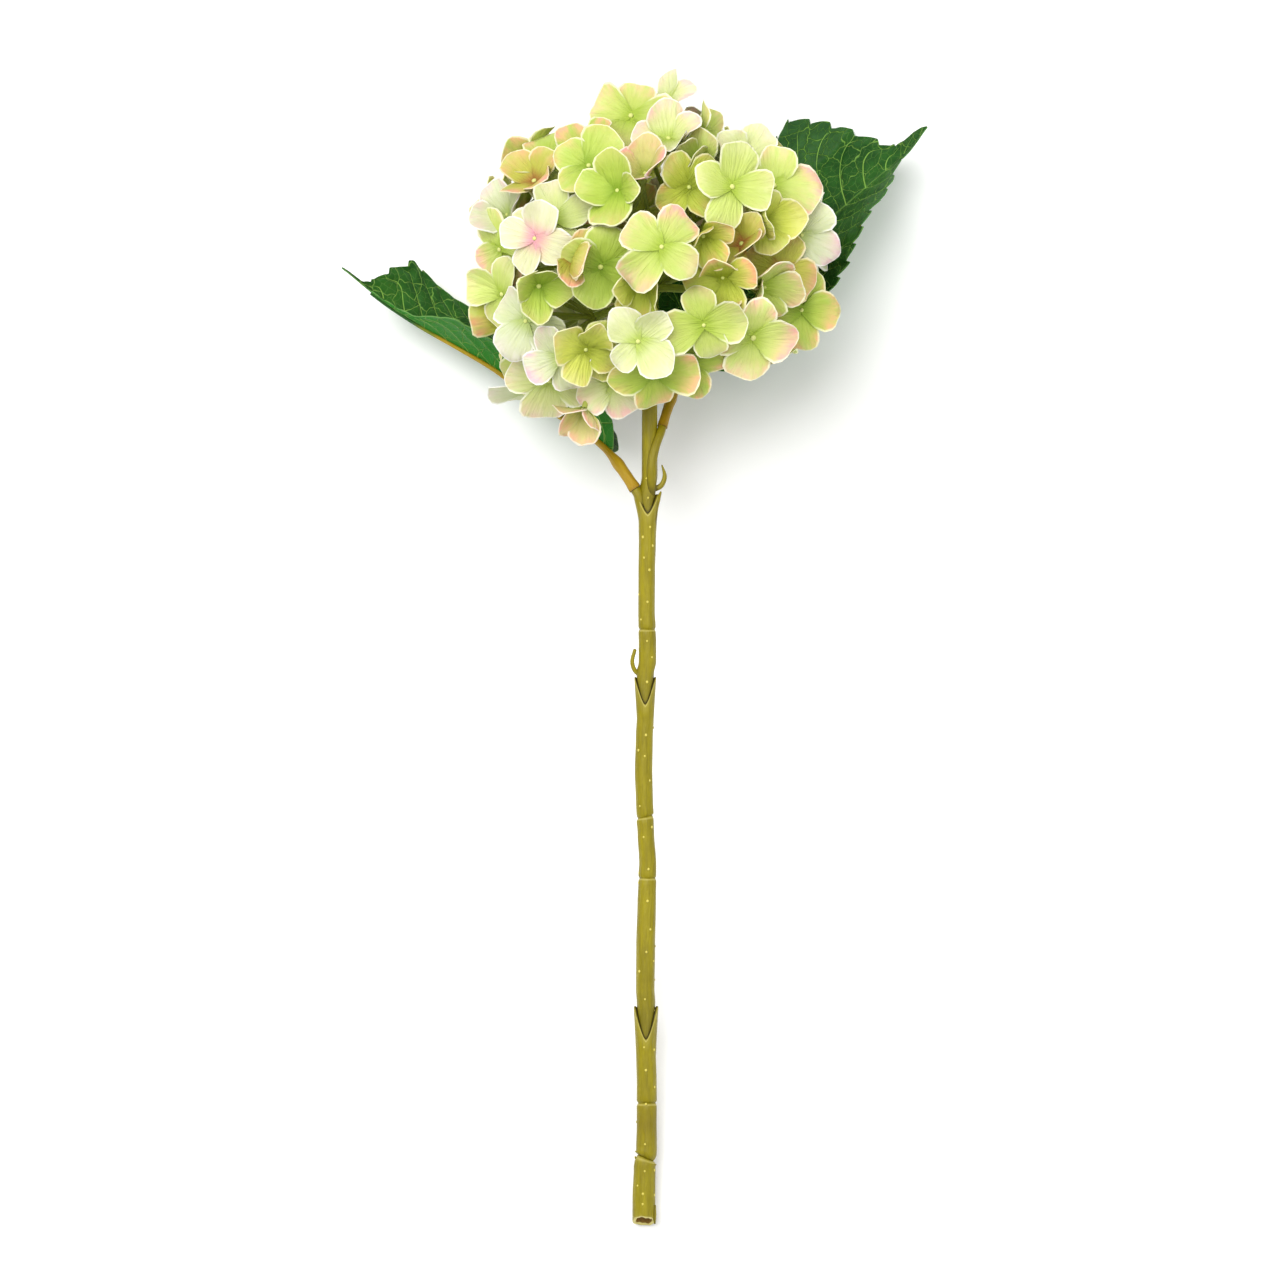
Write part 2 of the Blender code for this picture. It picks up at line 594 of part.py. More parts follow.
class Floret:
    """One floret: four petals round an eye, on the end of its pedicel."""

    def __init__(self, centre, axis, spin, petal, seed):
        self.centre = centre
        self.axis = axis
        across = Vector((1, 0, 0)) - axis * axis.x
        if across.length < 0.2:
            across = Vector((0, 1, 0)) - axis * axis.y
        self.right = across.normalized()
        self.up = axis.cross(self.right)
        self.spin = spin
        self.petal = petal
        draw = random.Random(seed)
        self.turns = [draw.uniform(-6, 6) for _ in range(4)]
        self.lengths = [draw.uniform(0.90, 1.08) for _ in range(4)]
        self.cups = [draw.uniform(0.02, 0.26) for _ in range(4)]

    def sheet_point(self, k, place, lateral):
        """A point of petal k: place runs from the eye to the tip, lateral from -1 to 1 across it."""
        length = self.petal * self.lengths[k]
        turn = math.radians(self.spin + 90 * k + self.turns[k])
        out = self.right * math.cos(turn) + self.up * math.sin(turn)
        sideways = self.axis.cross(out)
        width = PETAL_WIDTH_SHARE * length * petal_width(place)
        lift = length * (self.cups[k] * place ** 2 + 0.10 * (lateral * petal_width(place)) ** 2)
        return self.centre + out * (length * place) + sideways * (width * lateral) + self.axis * lift

    def between(self, k, reach):
        """The offset from the centre towards the notch between petal k and the next one."""
        turn = math.radians(self.spin + 90 * k + 45)
        return (self.right * math.cos(turn) + self.up * math.sin(turn)) * reach

    def sheet(self):
        """Points and triangles of the four petals' middle surface. Point 0 is the eye, 1 to 4 the notches."""
        points = [self.centre.copy()]
        faces = []
        for k in range(4):
            points.append(self.centre + self.between(k, 0.24 * self.petal) + self.axis * (0.012 * self.petal))
        for k in range(4):
            first = len(points)
            points += [self.sheet_point(k, 0.56, 0.0), self.sheet_point(k, 0.52, -1.0),
                       self.sheet_point(k, 0.92, -1.0), self.sheet_point(k, 0.92, 1.0),
                       self.sheet_point(k, 0.52, 1.0)]
            middle, low, low_tip, high_tip, high = range(first, first + 5)
            before, after = 1 + (k - 1) % 4, 1 + k
            faces += [(middle, 0, before), (middle, before, low), (middle, low, low_tip),
                      (middle, low_tip, high_tip), (middle, high_tip, high), (middle, high, after),
                      (middle, after, 0)]
        return points, faces

    def solid(self, name, root):
        """The floret as one closed body: the petals, the raised eye, and the pedicel that ends at the root."""
        points, faces = self.sheet()
        half = [n * (PETAL_THICKNESS / 2) for n in point_normals(points, faces)]
        count = len(points)
        solid = [p + h for p, h in zip(points, half)]
        solid[0] = self.centre + self.axis * EYE_HEIGHT
        solid += [p - h for p, h in zip(points, half)][1:]
        ring = len(solid)
        neck = self.centre - self.axis * PETAL_THICKNESS
        solid += [neck + self.between(k, PEDICEL_RADIUS) for k in range(4)]
        solid += [root + self.between(k, PEDICEL_RADIUS) for k in range(4)]
        skin = list(faces)
        for k in range(4):
            first = 5 + 5 * k
            before_ring, after_ring = ring + (k - 1) % 4, ring + k
            middle, low, low_tip, high_tip, high = (first + j + count - 1 for j in range(5))
            before, after = 1 + (k - 1) % 4 + count - 1, 1 + k + count - 1
            fan = [before_ring, before, low, low_tip, high_tip, high, after, after_ring]
            skin += [(middle, fan[(j + 1) % 8], fan[j]) for j in range(8)]
            skin.append((after_ring, before_ring, before_ring + 4, after_ring + 4))
        skin.append(tuple(ring + 4 + k for k in (3, 2, 1, 0)))
        for a, b in rim_edges(faces):
            skin.append((b, a, a + count - 1))
            skin.append((b, a + count - 1, b + count - 1))
        return object_of(name, solid, skin)


def petal_width(place):
    """The petal's half width at this place, as a share of the greatest."""
    if place < 0.6:
        return 0.30 + 0.70 * math.sin(math.pi / 2 * place / 0.6)
    return math.sqrt(max(0.0, 1 - ((place - 0.6) / 0.42) ** 2))


def dome_lift(across, along):
    """How far the dome that the florets lie on stands out at this place, seen from the viewer's side."""
    u = (across - HEAD_CENTRE.x) / HEAD_REACH.x
    v = (along - HEAD_CENTRE.y) / HEAD_REACH.y
    off = math.hypot(u, v)
    return HEAD_REACH.z * (math.sqrt(1 - min(off, 0.96) ** 2) - max(0.0, off - 0.96))


def lift_off_table(floret):
    """Moves the floret straight up until its lowest point clears the table."""
    points, _ = floret.sheet()
    low = min(height_over_table(p) for p in points)
    short = max(0.0, FLOOR_GAP + PETAL_THICKNESS - low)
    floret.centre = kept_over_table(floret.centre, height_over_table(floret.centre) + short)


def settled(floret, pull, petals_so_far, leaf_trees):
    """Moves the floret by pull, step by step, to where it clears the leaves and crosses the fewest others."""
    start = floret.centre.copy()
    best = None
    for step in range(SETTLE_STEPS):
        floret.centre = start + pull * (SETTLE_STEP * step)
        lift_off_table(floret)
        tree = tree_of(*floret.sheet())
        to_hub = HUB_TOP - floret.centre
        blocked = sum(len(tree.overlap(other)) for other in leaf_trees)
        blocked += sum(1 for other in leaf_trees if other.ray_cast(floret.centre, to_hub, to_hub.length)[0])
        crossed = sum(len(tree.overlap(other)) for other in petals_so_far)
        score = (blocked, crossed, step)
        if best is None or score < best[0]:
            best = (score, floret.centre.copy(), tree)
        if not blocked and not crossed:
            break
    floret.centre = best[1]
    return best[0][0], best[0][1], best[2]


def place_florets(leaf_trees):
    """The florets set by hand, then florets by rule in the room left: even directions in a seeded order."""
    florets, trees = [], []
    crossings = 0
    for i, (across, along, sunk, lean_x, lean_y, spin, petal) in enumerate(FACING_FLORETS):
        x, y = across / 1000, along / 1000
        centre = Vector((x, y, dome_lift(x, y) - sunk / 1000))
        axis = Vector((lean_x, lean_y, math.sqrt(max(0.05, 1 - lean_x ** 2 - lean_y ** 2)))).normalized()
        floret = Floret(centre, axis, spin, petal / 1000, HEAD_SEED * 100 + i)
        blocked, crossed, tree = settled(floret, Vector((0, 0, -1)), trees, leaf_trees)
        crossings += crossed
        if blocked:
            print(f"facing floret {i} touches a leaf")
            continue
        florets.append(floret)
        trees.append(tree)
    print(f"{len(florets)} facing florets, {crossings} crossings")
    draw = random.Random(HEAD_SEED)
    order = list(range(SPARE_DIRECTIONS))
    draw.shuffle(order)
    for k in order:
        z = 1 - 2 * (k + 0.5) / SPARE_DIRECTIONS
        turn = k * math.pi * (3 - math.sqrt(5))
        flat = math.sqrt(1 - z * z)
        direction = Vector((flat * math.cos(turn), flat * math.sin(turn), z))
        if direction.angle(Vector((0, -1, -0.25))) < BARE_CONE:
            continue
        deep = HEAD_REACH.z if z > 0 else HEAD_BACK_REACH
        sunk = 1.0 - 0.06 * draw.random()
        reach = Vector((direction.x * HEAD_REACH.x, direction.y * SPARE_REACH_UP, z * deep))
        centre = HEAD_CENTRE + reach * sunk
        if min((centre - other.centre).length for other in florets) < SPARE_GAP:
            continue
        wander = Vector((draw.uniform(-1, 1), draw.uniform(-1, 1), draw.uniform(-1, 1))) * 0.25
        axis = (direction + wander).normalized()
        spin = draw.uniform(0, 90)
        petal = PETAL_LENGTH * draw.uniform(0.92, 1.06)
        floret = Floret(centre, axis, spin, petal, HEAD_SEED * 1000 + k)
        blocked, crossed, tree = settled(floret, (HEAD_CENTRE - centre).normalized(), trees, leaf_trees)
        if blocked:
            continue
        crossings += crossed
        florets.append(floret)
        trees.append(tree)
    print(f"{len(florets)} florets, {crossings} crossings")
    return florets


def ray_ends(florets):
    """The end of the ray that carries each floret: florets that lie the same way from the hub share one."""
    ways = []
    for k in range(RAY_COUNT):
        y = 1 - 1.7 * (k + 0.5) / RAY_COUNT
        turn = k * math.pi * (3 - math.sqrt(5))
        flat = math.sqrt(1 - y * y)
        ways.append(Vector((flat * math.cos(turn), y, flat * math.sin(turn))))
    groups = {}
    for floret in florets:
        out = (floret.centre - HUB_TOP).normalized()
        best = max(range(RAY_COUNT), key=lambda k: ways[k].dot(out))
        groups.setdefault(best, []).append(floret)
    ends = {}
    for k, members in sorted(groups.items()):
        middle = sum((f.centre for f in members), Vector((0, 0, 0))) / len(members)
        ends[k] = (HUB_TOP + (middle - HUB_TOP) * RAY_SHARE, members)
    return ends


def build_head(leaf_trees):
    """Hub, rays and florets, joined as one body."""
    hub = tube("flower_head", [HUB_FOOT, (HUB_FOOT + HUB_TOP) / 2, HUB_TOP, HUB_TOP + Vector((0, 0.003, 0))],
               [0.0032, 0.0036, HUB_RADIUS, HUB_RADIUS * 0.5], 8)
    pieces = []
    for k, (end, members) in ray_ends(place_florets(leaf_trees)).items():
        out = (end - HUB_TOP).normalized()
        stations = [HUB_TOP + out * 0.001, end - out * RAY_KNOB, end, end + out * RAY_KNOB]
        radii = [RAY_RADIUS * 1.2, RAY_RADIUS, RAY_KNOB, RAY_RADIUS * 0.7]
        pieces.append(tube(f"ray_{k}", stations, radii, 5))
        for floret in members:
            pieces.append(floret.solid(f"floret_{len(pieces)}", end))
    return fuse(hub, pieces)


def main():
    """Builds each piece, gives it its material and lays the plant on the table."""
    clear_scene()
    bark = finish("bark", (0.38, 0.34, 0.04), 0.5)
    petals = finish("petals", (0.62, 0.76, 0.28), 0.6)
    leaf_green = finish("leaf_green", (0.05, 0.18, 0.05), 0.45)
    stalk_brown = finish("stalk_brown", (0.50, 0.30, 0.03), 0.5)
    left = LeafShape(LEFT_LEAF)
    right = LeafShape(RIGHT_LEAF)
    made = [
        (build_stem(left, right), bark),
        (build_head(left.surroundings() + right.surroundings()), petals),
        (left.blade("leaf_left"), leaf_green),
        (right.blade("leaf_right"), leaf_green),
        (left.stalk("leaf_stalk_left"), stalk_brown),
        (right.stalk("leaf_stalk_right"), stalk_brown),
    ]
    lying = bpy.data.objects.new("lying_plant", None)
    bpy.context.scene.collection.objects.link(lying)
    lying.location = (-ORIGIN_ACROSS, -ORIGIN_ALONG, CUT_END_RISE)
    lying.rotation_euler = (LIE_ANGLE, 0, 0)
    for piece, material in made:
        piece.data.materials.clear()
        piece.data.materials.append(material)
        piece.parent = lying


main()
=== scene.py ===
"""The looks of a cut hydrangea that lies on a pale floor and is seen from above, as in the photograph.

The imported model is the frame, and each class below builds one sub-assembly over its nodes. A shape that
repeats is modelled once with Blender's edit-mode tools, and each copy is bent to its own place. Places are
first worked out in the plant's own frame, in metres: X across, Y along the stem from the cut end to the
head, Z out towards the viewer. They are then tipped to the way that the plant lies on the floor.
"""

import logging
import math
import random
from collections import Counter
from collections.abc import Callable, Iterable, Sequence
from dataclasses import dataclass, field
from enum import Enum
from functools import cache

import bmesh
import bpy
from mathutils import Matrix, Vector
from mathutils.bvhtree import BVHTree
from mathutils.kdtree import KDTree


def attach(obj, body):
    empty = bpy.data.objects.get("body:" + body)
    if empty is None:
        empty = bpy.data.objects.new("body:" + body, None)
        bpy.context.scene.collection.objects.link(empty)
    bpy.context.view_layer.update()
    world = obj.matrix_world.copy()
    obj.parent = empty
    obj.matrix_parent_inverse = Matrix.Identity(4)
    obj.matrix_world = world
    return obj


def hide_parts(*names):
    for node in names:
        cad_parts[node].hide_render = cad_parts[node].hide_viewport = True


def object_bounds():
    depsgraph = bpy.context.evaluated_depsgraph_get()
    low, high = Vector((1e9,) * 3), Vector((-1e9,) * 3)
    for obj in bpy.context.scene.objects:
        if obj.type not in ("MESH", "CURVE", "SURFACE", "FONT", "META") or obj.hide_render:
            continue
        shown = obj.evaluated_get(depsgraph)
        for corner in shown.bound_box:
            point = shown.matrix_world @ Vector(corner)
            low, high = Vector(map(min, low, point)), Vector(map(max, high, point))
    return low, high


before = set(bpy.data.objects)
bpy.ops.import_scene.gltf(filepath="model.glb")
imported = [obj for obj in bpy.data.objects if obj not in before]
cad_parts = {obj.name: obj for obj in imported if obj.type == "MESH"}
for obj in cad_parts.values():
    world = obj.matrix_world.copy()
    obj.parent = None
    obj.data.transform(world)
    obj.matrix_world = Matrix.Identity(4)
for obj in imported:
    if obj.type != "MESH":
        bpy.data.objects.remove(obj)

LOG = logging.getLogger("hydrangea")
CAD_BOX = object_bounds()

Piece = bpy.types.Object
Mesh = bpy.types.Mesh
Material = bpy.types.Material
Node = bpy.types.Node
Socket = bpy.types.NodeSocket
NodeTree = bpy.types.NodeTree
Colour = tuple[float, float, float]
Place = tuple[float, float, float]
Curve = Sequence[tuple[float, float]]
Feed = Socket | float | Sequence[float]

# How the plant lies
LIE_ANGLE = math.radians(8.4)
CUT_END_RISE = 0.0050
ORIGIN_ACROSS = -0.0035
ORIGIN_ALONG = 0.2480
PLANT_TO_WORLD = (Matrix.Translation((-ORIGIN_ACROSS, -ORIGIN_ALONG, CUT_END_RISE))
                  @ Matrix.Rotation(LIE_ANGLE, 4, "X"))
FLOOR_GAP = 0.0004
STEM_FLOOR_GAP = 0.0002
SHARP_FROM = math.radians(62)

# Stem: along, across and radius of each station, read from the cut end upwards
STEM_STATIONS = (
    (0.0120, -0.0005, 0.0049), (0.0262, -0.0002, 0.0047), (0.0330, 0.0006, 0.0045),
    (0.0450, 0.0007, 0.0043), (0.0610, 0.0007, 0.0043), (0.0740, 0.0004, 0.0043),
    (0.1020, 0.0001, 0.0040), (0.1200, 0.0003, 0.0041), (0.1410, 0.0008, 0.0040),
    (0.1560, 0.0012, 0.0037), (0.1700, 0.0004, 0.0036), (0.1820, -0.0002, 0.0037),
    (0.1960, -0.0006, 0.0038), (0.2110, -0.0003, 0.0037), (0.2190, 0.0001, 0.0037),
    (0.2430, 0.0010, 0.0038), (0.2520, 0.0010, 0.0038), (0.2640, 0.0006, 0.0036),
    (0.2810, 0.0007, 0.0036), (0.2960, 0.0010, 0.0037), (0.3230, 0.0020, 0.0034),
    (0.3400, 0.0020, 0.0033), (0.3650, 0.0021, 0.0032), (0.3915, 0.0022, 0.0032),
)
CUT_RADIUS = 0.0050
CUT_SLANT = 0.44
PITH_RADIUS = 0.0036
PITH_DEPTH = 0.0030
# Grooves round the stem: along, depth, and how far the groove runs up per metre across
STEM_GROOVES = ((0.0297, 0.0009, -0.45), (0.0533, 0.0004, 0.0), (0.1500, 0.0003, 0.0),
                (0.1763, 0.0004, 0.25), (0.2570, 0.0003, 0.0))
GROOVE_HALF_WIDTH = 0.0013
USUAL_GROOVE_DEPTH = 0.0004
# Leaf scars: along of the low point of the V, and the rise to its tips
LEAF_SCARS = ((0.0804, 0.0145), (0.2245, 0.0120), (0.3065, 0.0085))
SCAR_LIP = 0.0008
SCAR_REACH = 0.006
# The rings of a scar from below its V: share of the rise that sorts it, how far ahead it lies, whether it
# has the radius above the scar, what is added to that, shares of the rise and of the lip, and the mark
# of its creases: painted shade in and just above the V, and below 0 a painted highlight on the pale lip
# below it
SCAR_RINGS = ((0.10, -0.0050, False, 0.0001, 0.45, 0.3, 0.0),
              (0.16, -0.0012, False, 0.0002, 1.0, 1.0, -0.1),
              (0.18, -0.0006, False, 0.0002, 1.0, 1.0, -0.5),
              (0.20, 0.0, False, 0.0001, 1.0, 1.0, 0.2),
              (0.30, 0.0002, True, 0.0003, 1.0, 0.3, 1.0),
              (0.40, 0.0003, True, -0.0001, 0.95, 0.0, 1.0),
              (0.50, 0.0018, True, 0.0, 1.0, 0.0, 0.35))
# Where the bark has more of its foot's tone
FOOT_TONE_AT = 0.044
FOOT_TONE_REACH = 0.014
DOT_COUNT = 30
DOTS_FROM = 0.010
DOTS_SPAN = 0.325
# The dots that face the viewer: across and along, in millimetres
FACING_DOTS = ((1.3, 313.5), (2.2, 301.0), (1.9, 282.5), (1.1, 268.8), (-1.7, 261.2), (0.9, 252.0),
               (0.9, 234.4), (0.4, 211.6), (-0.1, 202.5), (-0.6, 167.7), (1.5, 153.9), (1.1, 140.2),
               (0.6, 118.3), (0.0, 98.0), (-0.4, 77.4), (0.4, 67.5), (0.4, 52.9), (0.0, 35.7), (-0.1, 24.1),
               (-0.9, 14.4), (-1.9, 226.0), (2.0, 192.0), (-2.2, 181.0), (2.3, 128.0), (-2.4, 110.0),
               (-0.1, 305.0), (0.6, 321.9), (-1.1, 302.7), (-0.9, 296.7), (3.3, 293.0), (-0.4, 287.8),
               (3.7, 114.4), (3.9, 87.9), (3.9, 76.3), (4.1, 60.2), (-3.2, 17.9), (-1.0, 10.0), (4.0, 13.8),
               (4.0, 24.5), (-2.6, 272.0), (3.0, 245.0), (-2.8, 205.0), (2.9, 172.0), (-3.0, 148.0))

# Side shoots of the stem: points and radii
LEFT_STUB = (((0.0006, 0.2990, 0.0), 0.0026), ((-0.0007, 0.3070, 0.0002), 0.0026),
             ((-0.0020, 0.3125, 0.0003), 0.0025))
RIGHT_STUB = (((0.0021, 0.3110, -0.0004), 0.0019), ((0.0025, 0.3165, 0.0014), 0.0021),
              ((0.0028, 0.3245, 0.0026), 0.0022), ((0.0033, 0.3309, 0.0028), 0.0021),
              ((0.0049, 0.3371, 0.0022), 0.0020))
RIGHT_HORN = (((0.0024, 0.3010, 0.0004), 0.0025), ((0.0040, 0.3085, 0.0005), 0.0017),
              ((0.0056, 0.3130, 0.0003), 0.0011), ((0.0068, 0.3160, 0.0), 0.0004))
RIGHT_STIPULE = (((0.0035, 0.3172, 0.0), 0.0013), ((0.0069, 0.3188, 0.0), 0.0012),
                 ((0.0085, 0.3228, 0.0), 0.0010), ((0.0073, 0.3275, 0.0), 0.0003))
LEFT_STIPULE = (((-0.0014, 0.2370, 0.0), 0.0010), ((-0.0043, 0.2392, 0.0), 0.0010),
                ((-0.0055, 0.2432, 0.0), 0.0009), ((-0.0044, 0.2480, 0.0), 0.0008))
# A strand of bark that the cut left standing
CUT_STRAND = (((0.0040, 0.0095, 0.0014), 0.0007), ((0.0041, 0.0050, 0.0019), 0.0008),
              ((0.0042, 0.0016, 0.0018), 0.0004))
STUB_END = 0.0024
# How far the painted shade reaches from where a shoot meets the stem
JOINT_SHADE = 0.0008
PEG_LENGTH = 0.0030
PEG_SPARE = 0.0005
SEAT_GAP = 0.0003

# Leaves: the blade, its side veins, which curve towards the tip by VEIN_CURVE of their gaps, and its teeth
BLADE_THICKNESS = 0.0008
VEINS_A_SIDE = 13
TEETH_A_SIDE = 20
VEIN_SLANT = 0.13
VEIN_CURVE = 1.7
VEIN_RELIEF = 0.0005
TOOTH_REACH = 0.0014
TOOTH_NOTCH = 0.0011
NOTCH_PLACE = 0.10
TAIL_START = 0.85
BLADE_END_START = 0.86
BLADE_END_SPAN = 0.10
# The rib under the blade, and where along the route it turns green
RIB_END = 0.88
RIB_GREEN_START = 0.66
RIB_GREEN_SPAN = 0.10
# The swelling of the sleeve: how much wider it is, and where along the route
SLEEVE_SWELL = 0.34
SLEEVE_SWELL_AT = 0.082
SLEEVE_SWELL_REACH = 0.035

# Flower head
HEAD_CENTRE = Vector((0.0030, 0.4150, 0.0))
HEAD_REACH = Vector((0.0720, 0.0660, 0.0660))
HEAD_BACK_REACH = 0.0660
# Painted shade deep in the head: where it starts and over what span it deepens, as shares of the head's
# reach, and the colour that it multiplies by.
PAINTED_SHADE_FROM = 0.96
PAINTED_SHADE_SPAN = 0.36
PAINTED_DEEP_SHADE = (0.60, 0.68, 0.30)
HEAD_SEED = 11
FACING_SEED = HEAD_SEED * 100
SPARE_SEED = HEAD_SEED * 1000
HUB_FOOT = Vector((0.0022, 0.3918, 0.0))
HUB_TOP = Vector((0.0022, 0.4040, 0.0))
HUB_RADIUS = 0.0046
RAY_COUNT = 12
RAY_SHARE = 0.50
RAY_RADIUS = 0.0016
PEDICEL_RADIUS = 0.0009
EYE_HEIGHT = 0.0010
PETAL_THICKNESS = 0.0007
PETAL_WIDTH_SHARE = 0.46
PETAL_LENGTH = 0.0175
PETAL_SHEET = 0.026
PETAL_LAYERS = (-0.00020, 0.00030)
SETTLE_STEP = 0.0016
SETTLE_STEPS = 7
EYE_MATCH = 0.00003
SPARE_DIRECTIONS = 420
SPARE_GAP = 0.0207
SPARE_REACH_UP = 0.0600
BARE_WAY = Vector((0, -1, -0.25))
BARE_CONE = math.radians(47)
# Slopes that a petal may be tipped by, in the order of trying, to keep clear of its neighbours
PETAL_TILTS = (0.0, -0.10, 0.10, -0.20, 0.20, -0.32, 0.32, 0.46, -0.45, 0.62)
NEIGHBOUR_REACH = 0.042
# Rows of the list of florets below that lie wide open as they are
WIDE_OPEN = {0, 1, 2, 3, 4, 5, 6, 7, 8, 9, 10, 11, 12, 13, 17, 18, 23, 24, 27, 33, 43}
# Rows that stand half closed, with the way that each is tipped, in degrees round from the right
HALF_CLOSED = {14: 290, 16: 90, 19: 45, 20: 200, 22: 180, 25: 130, 26: 110, 28: 150, 31: 320, 32: 20,
               34: 200, 35: 120, 36: 130, 38: 250, 39: 130, 40: 60, 42: 280, 49: 250}
HALF_CLOSED_ANGLE = 0.50
TIPPED_ANGLE = 0.42
SPARE_SPREAD = 1.15
PETAL_SIZES = (1.0, 0.93, 0.86)


class Tint(Enum):
    """The tones that the florets of this head have."""

    GREEN = "green"
    LIME = "lime"
    CREAM = "cream"
    WHITE = "white"
    WHITE_ROSE = "white_rose"
    YELLOW = "yellow"
    PINK = "pink"
    BRONZE = "bronze"


# Florets that face the viewer, in millimetres and degrees: across and along, how far each is sunk into the
# head, how far it leans across and along, the turn of its first petal, its petal length, its tint and how
# much blush its rims have
FACING_FLORETS = (
    (7, 420, 0, 0.05, 0.05, 50, 19.5, Tint.LIME, 0.7),
    (-47, 424, 0, -0.45, 0.05, 68, 16.5, Tint.WHITE_ROSE, 0.2),
    (-3, 380, 0, 0.00, -0.20, 45, 18.5, Tint.CREAM, 0.1),
    (37, 446, 0, 0.40, 0.15, 78, 19.0, Tint.LIME, 0.1),
    (55, 447, 3, 0.20, 0.15, 80, 19.5, Tint.LIME, 0.8),
    (-37, 373, 0, -0.15, -0.25, 118, 17.0, Tint.WHITE, 0.6),
    (67, 394, 4, 0.35, -0.10, 82, 18.5, Tint.GREEN, 0.7),
    (67, 426, 6, 0.35, 0.00, 58, 17.0, Tint.WHITE, 0.5),
    (-51, 389, 0, -0.25, -0.10, 148, 17.0, Tint.WHITE, 0.2),
    (-41, 364, 3, -0.15, -0.45, 262, 18.5, Tint.CREAM, 0.3),
    (4, 367, 4, 0.00, -0.50, 272, 19.5, Tint.GREEN, 0.6),
    (19, 371, 5, 0.15, -0.45, 280, 18.5, Tint.GREEN, 0.9),
    (46, 382, 3, 0.35, -0.45, 262, 19.0, Tint.LIME, 0.6),
    (25, 387, 2, 0.10, -0.25, 105, 18.0, Tint.LIME, 0.2),
    (37, 392, 3, 0.20, -0.10, 45, 17.0, Tint.BRONZE, 0.3),
    (-25, 376, 3, -0.05, -0.20, 68, 17.0, Tint.YELLOW, 0.2),
    (10, 470, 0, 0.00, 0.35, 10, 17.8, Tint.CREAM, 0.8),
    (-6, 477, 2, -0.10, 0.50, 75, 18.5, Tint.LIME, 0.5),
    (10, 484, 0, -0.85, 0.25, 92, 16.5, Tint.CREAM, 0.9),
    (28, 472, 3, 0.50, 0.45, 70, 15.0, Tint.LIME, 0.5),
    (21, 458, 5, 0.10, 0.35, 60, 16.5, Tint.LIME, 0.2),
    (43, 459, 4, 0.30, 0.50, 60, 17.5, Tint.CREAM, 0.3),
    (-14, 445, 0, -0.10, 0.15, 175, 17.5, Tint.GREEN, 0.2),
    (-38, 432, 3, -0.20, 0.30, 100, 18.5, Tint.CREAM, 0.2),
    (-24, 455, 3, -0.15, 0.45, 140, 17.0, Tint.GREEN, 0.4),
    (-27, 463, 5, -0.15, 0.65, 120, 17.0, Tint.GREEN, 0.9),
    (-49, 452, 2, -0.35, 0.45, 135, 17.0, Tint.BRONZE, 0.8),
    (-43, 458, 6, -0.20, 0.70, 95, 18.0, Tint.GREEN, 0.8),
    (-62, 436, 2, -0.45, 0.15, 35, 17.0, Tint.WHITE, 0.5),
    (-62, 420, 6, -0.55, -0.10, 125, 17.5, Tint.LIME, 0.7),
    (-61, 401, 5, -0.60, -0.10, 160, 17.5, Tint.LIME, 0.2),
    (-45, 403, 4, -0.15, 0.00, 345, 18.0, Tint.GREEN, 0.1),
    (-29, 415, 2, -0.10, -0.10, 62, 17.0, Tint.BRONZE, 0.6),
    (-19, 412, 6, 0.00, -0.35, 250, 17.5, Tint.GREEN, 0.1),
    (-3, 403, 5, 0.00, -0.45, 170, 17.0, Tint.YELLOW, 0.2),
    (-13, 425, 6, -0.10, -0.30, 155, 17.0, Tint.PINK, 0.9),
    (-1, 454, 4, 0.00, 0.30, 170, 16.5, Tint.PINK, 0.7),
    (19, 446, 5, 0.10, 0.20, 130, 16.5, Tint.YELLOW, 0.5),
    (25, 424, 6, 0.20, 0.00, 300, 16.5, Tint.YELLOW, 0.7),
    (41, 423, 4, 0.15, 0.00, 55, 17.0, Tint.BRONZE, 0.7),
    (53, 431, 6, 0.20, -0.35, 270, 17.0, Tint.YELLOW, 0.3),
    (33, 407, 5, 0.10, -0.10, 190, 16.5, Tint.YELLOW, 0.6),
    (53, 402, 4, 0.55, -0.10, 100, 17.5, Tint.LIME, 0.8),
    (58, 410, 6, 0.35, 0.00, 75, 17.0, Tint.BRONZE, 0.4),
    (30, 377, 6, 0.25, -0.50, 262, 17.0, Tint.GREEN, 0.2),
    (-13, 376, 5, 0.00, -0.30, 310, 17.0, Tint.YELLOW, 0.1),
    (-14, 362, 5, 0.00, -0.70, 200, 17.0, Tint.CREAM, 0.7),
    (-49, 372, 4, -0.40, -0.30, 215, 17.5, Tint.LIME, 0.3),
    (-52, 359, 4, -0.40, -0.75, 265, 16.5, Tint.WHITE, 0.2),
    (-27, 348, -12, -0.15, -0.70, 215, 15.5, Tint.PINK, 0.5),
)
SPARE_TINTS = (Tint.GREEN, Tint.LIME, Tint.YELLOW, Tint.GREEN, Tint.WHITE, Tint.CREAM)


def srgb(red: int, green: int, blue: int) -> Colour:
    """The linear colour of a screen colour, whose values are 0 to 255."""
    return tuple(c / 255 / 12.92 if c < 11 else ((c / 255 + 0.055) / 1.055) ** 2.4
                 for c in (red, green, blue))


